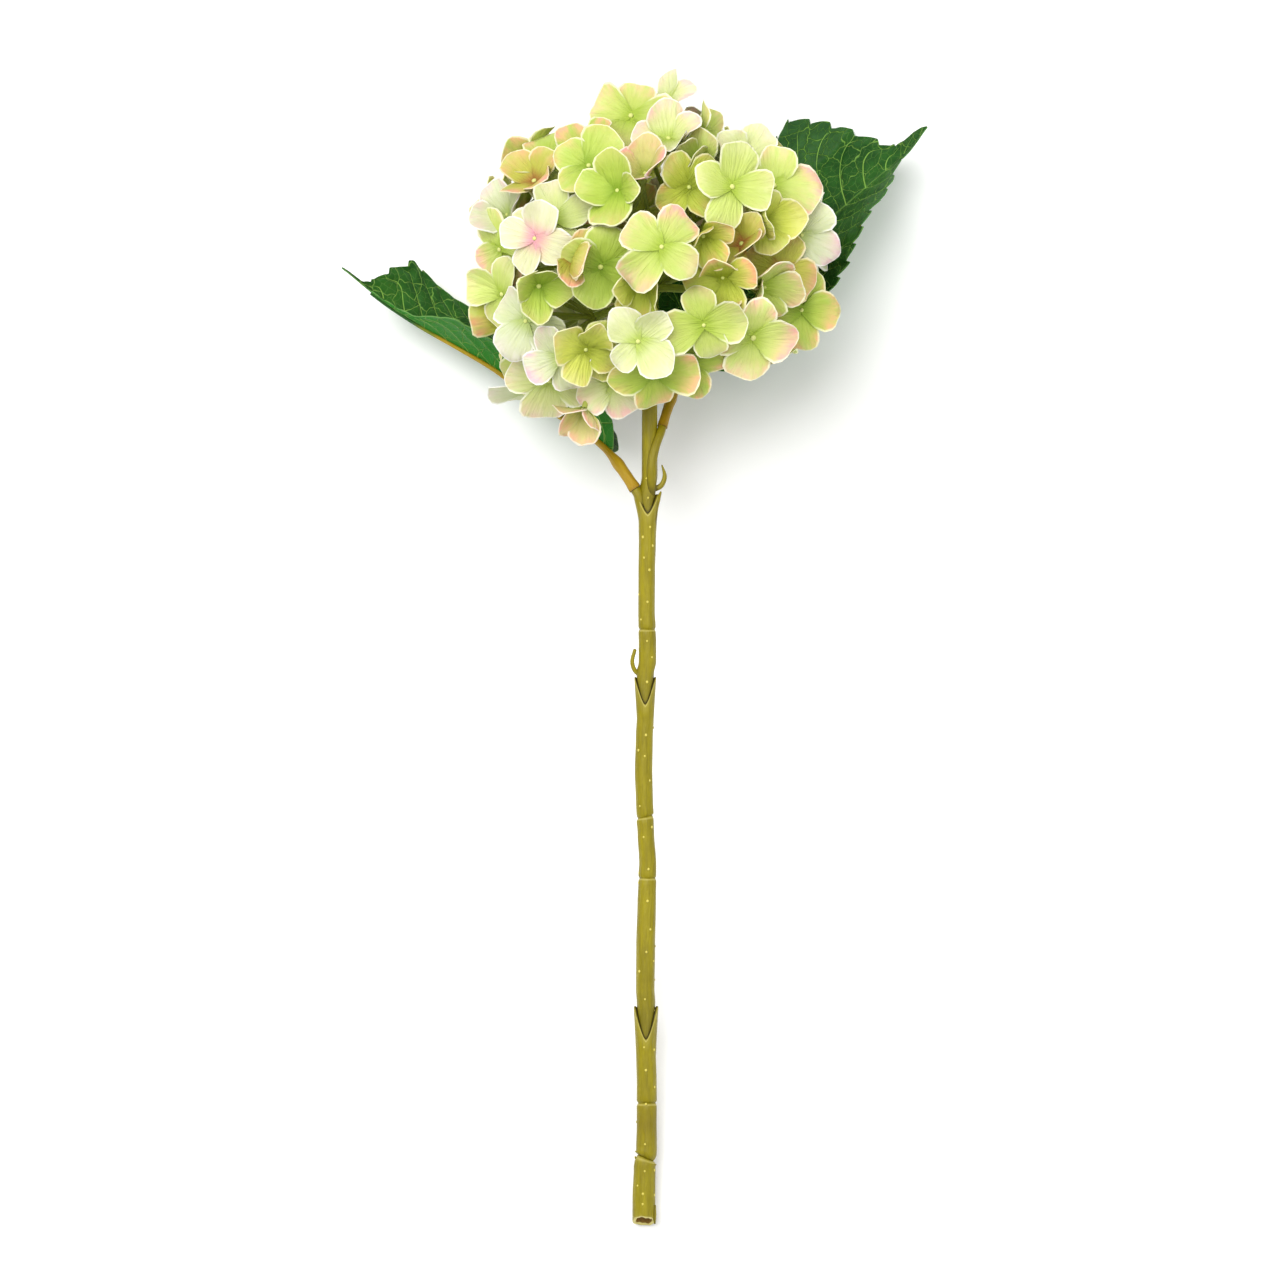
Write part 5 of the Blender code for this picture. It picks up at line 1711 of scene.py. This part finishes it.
@dataclass
class Floret:
    """One floret: four petals round an eye, at the end of its pedicel. Spin is in degrees."""

    centre: Vector
    axis: Vector
    spin: float
    petal: float
    seed: int
    tint: Tint
    blush: float
    closing: float = 0.0

    def __post_init__(self) -> None:
        """Finds its own directions and draws what sets its petals apart."""
        across = Vector((1, 0, 0)) - self.axis * self.axis.x
        if across.length < 0.2:
            across = Vector((0, 1, 0)) - self.axis * self.axis.y
        self.right = across.normalized()
        self.up = self.axis.cross(self.right)
        draw = random.Random(self.seed)
        self.turns = [draw.uniform(-6, 6) for _ in range(4)]
        self.lengths = [draw.uniform(0.90, 1.08) for _ in range(4)]
        self.cups = [draw.uniform(0.02, 0.26) for _ in range(4)]
        self.draw = draw

    def take_form(self, tipped_to: float | None) -> None:
        """Closes it as its draws say, tips it, and sinks it by as much as its petals stand out further.

        Args:
            tipped_to: The way that it is tipped, in degrees round from the right, or None for any way.
        """
        self.closing += self.draw.uniform(*CLOSINGS.get(self.tint, OPEN_CLOSINGS))
        way = self.draw.uniform(0, 2 * math.pi) if tipped_to is None else math.radians(tipped_to)
        least = 0.3 if tipped_to is None else 0.8
        towards = Vector((math.cos(way), math.sin(way), 0))
        turn = Matrix.Rotation(TIPPED_ANGLE * self.draw.uniform(least, 1.0), 3, self.axis.cross(towards))
        self.axis, self.right, self.up = turn @ self.axis, turn @ self.right, turn @ self.up
        self.centre = self.centre - self.axis * (max(0.0, self.closing) * self.petal * 0.45)

    def petal_frame(self, k: int) -> tuple[Vector, Vector, float]:
        """How one petal lies.

        Args:
            k: The petal's number.

        Returns:
            The ways outwards and sideways, and the petal's length.
        """
        turn = math.radians(self.spin + 90 * k + self.turns[k])
        out = self.right * math.cos(turn) + self.up * math.sin(turn)
        return out, self.axis.cross(out), self.petal * self.lengths[k]

    def outer_point(self, k: int, place: float, lateral: float) -> Vector:
        """A point of a petal's middle surface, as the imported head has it.

        Args:
            k: The petal's number.
            place: The share of its length.
            lateral: How far across it, -1 to 1.

        Returns:
            The point.
        """
        out, sideways, length = self.petal_frame(k)
        width = petal_width(place)
        lift = length * (self.cups[k] * place ** 2 + 0.10 * (lateral * width) ** 2)
        return (self.centre + out * (length * place)
                + sideways * (PETAL_WIDTH_SHARE * length * width * lateral) + self.axis * lift)

    def lowest(self) -> float:
        """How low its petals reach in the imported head.

        Returns:
            The height of their lowest corner over the floor.
        """
        corners = [self.outer_point(k, place, lateral) for k in range(4)
                   for place, lateral in ((0.56, 0.0), (0.52, -1.0), (0.92, -1.0), (0.92, 1.0), (0.52, 1.0))]
        for k in range(4):
            turn = math.radians(self.spin + 90 * k + 45)
            notch = self.right * math.cos(turn) + self.up * math.sin(turn)
            corners.append(self.centre + notch * (0.24 * self.petal) + self.axis * (0.012 * self.petal))
        return min(height_over_floor(p) for p in corners + [self.centre])

    def lift_off_floor(self) -> None:
        """Moves it straight up until its lowest point clears the floor."""
        short = max(0.0, FLOOR_GAP + PETAL_THICKNESS - self.lowest())
        self.centre = kept_over_floor(self.centre, height_over_floor(self.centre) + short)

    def petals(self, template: Mesh, crowd: "Crowd") -> list[Piece]:
        """Its four petals, each of its own form and tipped clear of the florets placed before it.

        Args:
            template: The flat petal.
            crowd: What it keeps clear of.

        Returns:
            The four objects.
        """
        tone = self.draw.uniform(0.0, 1.0)
        made = []
        for k in range(4):
            out, sideways, length = self.petal_frame(k)
            length *= self.draw.uniform(0.95, 1.05)
            stand = self.closing + self.draw.uniform(-0.12, 0.12)
            bow = 2.0 * self.cups[k] + 0.6 * self.closing + self.draw.uniform(-0.10, 0.10)
            shape = PetalShape.drawn(self.draw, stand, bow, PETAL_LAYERS[k % 2])
            points = crowd.clear_of(
                [self.centre + (out * at.y + sideways * at.x + self.axis * at.z) * (length * size)
                 for at in shape.points(template, tilt)] for size in PETAL_SIZES for tilt in PETAL_TILTS)
            petal = placed_copy(f"petal_{k}", template, points)
            own = clamped(self.blush * self.draw.uniform(0.4, 1.6))
            shade = clamped(tone + self.draw.uniform(-0.25, 0.25))
            shift = self.draw.uniform(0, 40)
            note_vectors(petal.data, "petal_draws", [(shade, own, shift)] * len(petal.data.vertices))
            made.append(petal)
        return made

    def eye(self, template: Mesh) -> Piece:
        """The raised bead in its middle.

        Args:
            template: The unit bead.

        Returns:
            The bead.
        """
        size = self.petal * (0.050 + 0.022 * (self.seed % 7) / 6)
        foot = self.centre + self.axis * 0.0004

        def bend(p: Vector) -> Vector:
            """A point of the unit bead, on the floret."""
            return foot + self.right * p.x * size + self.up * p.y * size + self.axis * (p.z + 0.25) * size

        return bent_copy("eye", template, bend)

    def pedicel(self, root: Vector) -> Piece:
        """Its thin stalk, which swells a little under the petals and sags towards the root.

        Args:
            root: The end of the ray that it grows from.

        Returns:
            The stalk.
        """
        neck = self.centre - self.axis * PETAL_THICKNESS * 0.8
        out = neck - root
        bow = (self.axis - out.normalized() * self.axis.dot(out.normalized())) * (out.length * 0.10)
        steps = 7
        centres = [root + out * (k / steps) - bow * math.sin(math.pi * k / steps) for k in range(steps + 1)]
        radii = [PEDICEL_RADIUS * (1.0 + 0.5 * (k / steps) ** 6 + 0.25 * (1 - k / steps) ** 3)
                 for k in range(steps + 1)]
        marks = [(0.0, 0.5 * (1 - k / steps), 0.0) for k in range(steps + 1)]
        return rod("pedicel", centres, radii, 8, marks)


def petal_width(place: float) -> float:
    """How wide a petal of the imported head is.

    Args:
        place: The share of its length.

    Returns:
        The half width there, as a share of the greatest.
    """
    if place < 0.6:
        return 0.30 + 0.70 * math.sin(math.pi / 2 * place / 0.6)
    return math.sqrt(max(0.0, 1 - ((place - 0.6) / 0.42) ** 2))


@dataclass
class FlowerHead:
    """The round head: florets on pedicels, which branch from rays round a hub."""

    florets: list[Floret] = field(default_factory=list)
    eyes: KDTree = field(init=False)

    def __post_init__(self) -> None:
        """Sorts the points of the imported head, among which each floret's eye is found."""
        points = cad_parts["flower_head"].data.vertices
        self.eyes = KDTree(len(points))
        for i, point in enumerate(points):
            self.eyes.insert(point.co, i)
        self.eyes.balance()

    def settled(self, floret: Floret, pull: Vector) -> bool:
        """Moves the floret by pull, step by step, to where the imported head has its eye.

        Args:
            floret: The floret, at the start of its way.
            pull: The way that it may have moved.

        Returns:
            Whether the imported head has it.
        """
        start = floret.centre.copy()
        for step in range(SETTLE_STEPS):
            floret.centre = start + pull * (SETTLE_STEP * step)
            floret.lift_off_floor()
            eye = PLANT_TO_WORLD @ (floret.centre + floret.axis * EYE_HEIGHT)
            if self.eyes.find(eye)[2] < EYE_MATCH:
                return True
        return False

    def dome_lift(self, across: float, along: float) -> float:
        """How far the dome that the florets lie on stands out at this place, towards the viewer."""
        off = math.hypot((across - HEAD_CENTRE.x) / HEAD_REACH.x, (along - HEAD_CENTRE.y) / HEAD_REACH.y)
        return HEAD_REACH.z * (math.sqrt(1 - min(off, 0.96) ** 2) - max(0.0, off - 0.96))

    def place_facing(self) -> None:
        """Adds the florets of the list that faces the viewer."""
        for i, row in enumerate(FACING_FLORETS):
            across, along, sunk, lean_x, lean_y, spin, petal, tint, blush = row
            x, y = across / 1000, along / 1000
            centre = Vector((x, y, self.dome_lift(x, y) - sunk / 1000))
            outward = math.sqrt(max(0.05, 1 - lean_x ** 2 - lean_y ** 2))
            axis = Vector((lean_x, lean_y, outward)).normalized()
            closing = HALF_CLOSED_ANGLE if i in HALF_CLOSED else 0.0
            floret = Floret(centre, axis, spin, petal / 1000, FACING_SEED + i, tint, blush, closing)
            if self.settled(floret, Vector((0, 0, -1))):
                self.florets.append(floret)
            else:
                LOG.warning("the packed head has no floret %d", i)

    def place_spare(self) -> None:
        """Adds the florets of the sides and the back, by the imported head's rule and seeded draws."""
        draw = random.Random(HEAD_SEED)
        order = list(range(SPARE_DIRECTIONS))
        draw.shuffle(order)
        for k in order:
            z = 1 - 2 * (k + 0.5) / SPARE_DIRECTIONS
            turn = golden_turn(k)
            flat = math.sqrt(1 - z * z)
            direction = Vector((flat * math.cos(turn), flat * math.sin(turn), z))
            if direction.angle(BARE_WAY) < BARE_CONE:
                continue
            deep = HEAD_REACH.z if z > 0 else HEAD_BACK_REACH
            sunk = 1.0 - 0.06 * draw.random()
            reach = Vector((direction.x * HEAD_REACH.x, direction.y * SPARE_REACH_UP, z * deep))
            centre = HEAD_CENTRE + reach * sunk
            if min((centre - other.centre).length for other in self.florets) < SPARE_GAP:
                continue
            wander = Vector((draw.uniform(-1, 1), draw.uniform(-1, 1), draw.uniform(-1, 1))) * 0.25
            axis = (direction + wander).normalized()
            spin = draw.uniform(0, 90)
            petal = PETAL_LENGTH * draw.uniform(0.92, 1.06)
            tint = SPARE_TINTS[k % len(SPARE_TINTS)]
            floret = Floret(centre, axis, spin, petal, SPARE_SEED + k, tint, 0.15 * (k % 5))
            if self.settled(floret, (HEAD_CENTRE - centre).normalized()):
                self.florets.append(floret)

    def ray_groups(self) -> list[tuple[Vector, list[Floret]]]:
        """Shares the florets out among the rays: each ray carries those that lie its way from the hub.

        Returns:
            The end of each ray with its florets.
        """
        ways = []
        for k in range(RAY_COUNT):
            y = 1 - 1.7 * (k + 0.5) / RAY_COUNT
            turn = golden_turn(k)
            flat = math.sqrt(1 - y * y)
            ways.append(Vector((flat * math.cos(turn), y, flat * math.sin(turn))))
        groups = {}
        for floret in self.florets:
            out = (floret.centre - HUB_TOP).normalized()
            groups.setdefault(max(range(RAY_COUNT), key=lambda k: ways[k].dot(out)), []).append(floret)
        ends = []
        for _, members in sorted(groups.items()):
            middle = sum((f.centre for f in members), Vector((0, 0, 0))) / len(members)
            ends.append((HUB_TOP + (middle - HUB_TOP) * RAY_SHARE, members))
        return ends

    def stalks(self) -> Piece:
        """The hub, its rays and the pedicels.

        Returns:
            All of them, joined.
        """
        hub_points = [HUB_FOOT, (HUB_FOOT + HUB_TOP) / 2, HUB_TOP, HUB_TOP + Vector((0, 0.003, 0))]
        centres = [along_spline(hub_points, k / 9) for k in range(10)]
        sizes = ((0.0, 0.0032), (0.33, 0.0036), (0.67, HUB_RADIUS), (1.0, HUB_RADIUS * 0.5))
        parts = [rod("hub", centres, [interpolated(sizes, k / 9) for k in range(10)], 20)]
        for end, members in self.ray_groups():
            way = end - HUB_TOP
            side = way.orthogonal().normalized() * way.length * 0.04
            steps = 9
            centres = [HUB_TOP + way * (0.02 + 1.02 * k / steps) + side * math.sin(math.pi * k / steps)
                       for k in range(steps + 1)]
            radii = [RAY_RADIUS * (1.25 - 0.35 * k / steps + 0.55 * (k / steps) ** 8)
                     for k in range(steps + 1)]
            parts.append(rod("ray", centres, radii, 10))
            parts += [floret.pedicel(end) for floret in members]
        return joined("flower_stalks", parts)

    def build(self) -> None:
        """Builds and dresses the head, with one piece for the petals of each tint."""
        self.place_facing()
        self.place_spare()
        LOG.info("%d florets", len(self.florets))
        for floret in self.florets:
            row = floret.seed - FACING_SEED
            if row not in WIDE_OPEN:
                floret.take_form(HALF_CLOSED.get(row))
            if row >= len(FACING_FLORETS):
                floret.petal *= SPARE_SPREAD
        stalks = self.stalks()
        # The noted depth gives the stalks, petals and eyes painted shade deep in the head.
        note_shade_depth(stalks.data)
        handed_over(stalks, SHOOT_FINISH.material("flower_stalk_green"), ["flower_head"])
        petal, bead = Templates.petal(), Templates.bead(8, 6)
        crowd = Crowd([tuple(face.vertices) for face in petal.polygons])
        eyes = [floret.eye(bead) for floret in self.florets]
        crowd.add(eyes)
        tinted = {tint: [] for tint in Tint}
        for floret in sorted(self.florets, key=lambda f: -f.centre.z):
            petals = floret.petals(petal, crowd)
            crowd.add(petals)
            tinted[floret.tint] += petals
        for tint, petals in tinted.items():
            finish = PETAL_FINISHES[tint].material(f"petal_{tint.value}")
            piece = joined(f"petals_{tint.value}", petals)
            note_shade_depth(piece.data)
            handed_over(piece, finish, ["flower_head"])
        eyes = joined("floret_eyes", eyes)
        note_shade_depth(eyes.data)
        handed_over(eyes, EYE_FINISH.material("floret_eye"), ["flower_head"])


@dataclass(frozen=True)
class PhotoView:
    """The photograph's view: its scale and framing in pixels of a square image, and a long lens in mm."""

    image_pixels: int = 1280
    metres_per_pixel: float = 0.00043
    stem_pixel: float = 645.0
    cut_end_pixel: float = 1227.0
    lens: float = 500.0
    sensor: float = 36.0

    def build(self) -> None:
        """Adds the camera, straight over the plant's own plane."""
        middle = self.image_pixels / 2
        across = (middle - self.stem_pixel) * self.metres_per_pixel
        along = (self.cut_end_pixel - middle) * self.metres_per_pixel
        distance = middle * self.metres_per_pixel / (self.sensor / 2 / self.lens)
        data = bpy.data.cameras.new("photo_view")
        data.lens = self.lens
        data.sensor_width = self.sensor
        data.clip_end = 20.0
        camera = bpy.data.objects.new("photo_view", data)
        bpy.context.scene.collection.objects.link(camera)
        camera.matrix_world = PLANT_TO_WORLD @ Matrix.Translation((across, along, distance))
        bpy.context.scene.camera = camera


@dataclass(frozen=True)
class Studio:
    """Pale floor, soft lights and a bright even surround. Powers are in watts and sizes in metres."""

    floor_size: float = 12.0
    surround: float = 0.60

    def floor(self) -> None:
        """Adds the floor, with a faint unevenness in its paint."""
        bpy.ops.object.select_all(action="DESELECT")
        bpy.ops.mesh.primitive_plane_add(size=self.floor_size, location=(0, 0, 0))
        floor = bpy.context.active_object
        floor.name = "studio_floor"
        material, wiring, shader = Finish.opened("studio_floor", Roughness=0.9, Specular_IOR_Level=0.1)
        grain = wiring.node("ShaderNodeTexCoord")
        patches = wiring.group(mottle_group(), {"Place": grain.outputs["Object"], "Scale": 3.0})
        paint = wiring.mix(patches, (0.96, 0.96, 0.955), (0.98, 0.98, 0.975))
        wiring.feed(shader.inputs["Base Color"], paint)
        floor.data.materials.append(material)

    def lamp(self, name: str, place: Place, size: float, power: float) -> None:
        """Adds a square soft light that faces the flower head.

        Args:
            name: The light's name.
            place: Where it hangs.
            size: The length of its sides.
            power: Its power.
        """
        data = bpy.data.lights.new(name, "AREA")
        data.size = size
        data.energy = power
        lamp = bpy.data.objects.new(name, data)
        bpy.context.scene.collection.objects.link(lamp)
        lamp.location = place
        lamp.rotation_mode = "QUATERNION"
        lamp.rotation_quaternion = (Vector((0, 0.05, 0.05)) - Vector(place)).to_track_quat("-Z", "Y")

    def build(self) -> None:
        """Adds the floor, the lights and the surround."""
        self.floor()
        self.lamp("soft_key", place=(-0.55, 0.60, 1.9), size=1.6, power=45.0)
        self.lamp("soft_fill", place=(0.9, -0.3, 1.6), size=1.4, power=8.0)
        world = bpy.data.worlds.new("bright_surround")
        world.use_nodes = True
        background = world.node_tree.nodes["Background"]
        background.inputs["Color"].default_value = (1.0, 1.0, 1.0, 1.0)
        background.inputs["Strength"].default_value = self.surround
        bpy.context.scene.world = world
        bpy.context.scene.view_settings.view_transform = "Standard"


LEFT_LEAF = Leaf(
    side_name="left",
    route_points=((-0.0042, 0.3173, 0.0), (-0.0085, 0.3238, -0.0012), (-0.0142, 0.3315, -0.0060),
                  (-0.0215, 0.3385, -0.0135), (-0.0340, 0.3470, -0.0240), (-0.0490, 0.3570, -0.0320),
                  (-0.0650, 0.3690, -0.0365), (-0.0810, 0.3785, -0.0380), (-0.0970, 0.3875, -0.0385),
                  (-0.1110, 0.3965, -0.0375), (-0.1230, 0.4055, -0.0330), (-0.1316, 0.4120, -0.0230)),
    turn=((0.0, -115), (0.2, -112), (0.35, -102), (0.5, -90), (0.62, -80), (0.75, -72), (1.0, -66)),
    outlines=(
        ((0.0, 0.04), (0.04, 0.30), (0.12, 0.42), (0.30, 0.44), (0.46, 0.44), (0.54, 0.54), (0.60, 0.62),
         (0.64, 0.56), (0.68, 0.40), (0.73, 0.14), (0.80, 0.06), (0.88, 0.03), (1.0, 0.015)),
        ((0.0, 0.04), (0.03, 0.24), (0.06, 0.36), (0.12, 0.58), (0.20, 0.78), (0.26, 0.85), (0.32, 0.88),
         (0.40, 0.84), (0.46, 0.72), (0.53, 0.62), (0.685, 0.60), (0.76, 0.66), (0.795, 0.69),
         (0.815, 0.57), (0.83, 0.45), (0.85, 0.33), (0.87, 0.14), (0.90, 0.04), (1.0, 0.015)),
    ),
    half_width=0.0390, fold=38, arch=0.08, blade_start=0.12, stalk_radius=0.0026, peg_radius=0.0012,
    teeth_from=(1.0, 0.60),
)
RIGHT_LEAF = Leaf(
    side_name="right",
    route_points=((0.0074, 0.3440, -0.0004), (0.0095, 0.3510, -0.0045), (0.0125, 0.3590, -0.0140),
                  (0.0190, 0.3700, -0.0310), (0.0290, 0.3830, -0.0450), (0.0410, 0.3975, -0.0525),
                  (0.0560, 0.4130, -0.0560), (0.0720, 0.4270, -0.0565), (0.0880, 0.4405, -0.0555),
                  (0.1040, 0.4545, -0.0535), (0.1150, 0.4645, -0.0500), (0.1230, 0.4738, -0.0430)),
    turn=((0.0, 5), (0.35, 14), (0.54, 34), (0.67, 50), (0.78, 60), (1.0, 60)),
    outlines=(
        ((0.0, 0.04), (0.03, 0.40), (0.10, 0.62), (0.24, 0.72), (0.40, 0.78), (0.55, 0.86), (0.60, 0.90),
         (0.645, 0.99), (0.685, 1.08), (0.735, 0.93), (0.785, 0.69), (0.815, 0.48), (0.84, 0.30),
         (0.865, 0.15), (0.90, 0.11), (0.95, 0.08), (0.985, 0.04), (1.0, 0.01)),
        ((0.0, 0.04), (0.03, 0.36), (0.10, 0.54), (0.24, 0.66), (0.40, 0.78), (0.52, 0.86), (0.58, 0.91),
         (0.64, 0.86), (0.69, 0.82), (0.73, 0.76), (0.79, 0.70), (0.83, 0.52), (0.855, 0.28),
         (0.875, 0.10), (0.92, 0.08), (0.97, 0.05), (1.0, 0.01)),
    ),
    half_width=0.0540, fold=22, arch=0.10, blade_start=0.20, stalk_radius=0.0021, peg_radius=0.0008,
)


def main() -> None:
    """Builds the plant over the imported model, then its stage and the photograph's view."""
    logging.basicConfig(level=logging.INFO, format="%(name)s: %(message)s")
    Stem().build(LEFT_LEAF, RIGHT_LEAF)
    LEFT_LEAF.build()
    RIGHT_LEAF.build()
    FlowerHead().build()
    Studio().build()
    PhotoView().build()


if __name__ == "__main__":
    main()
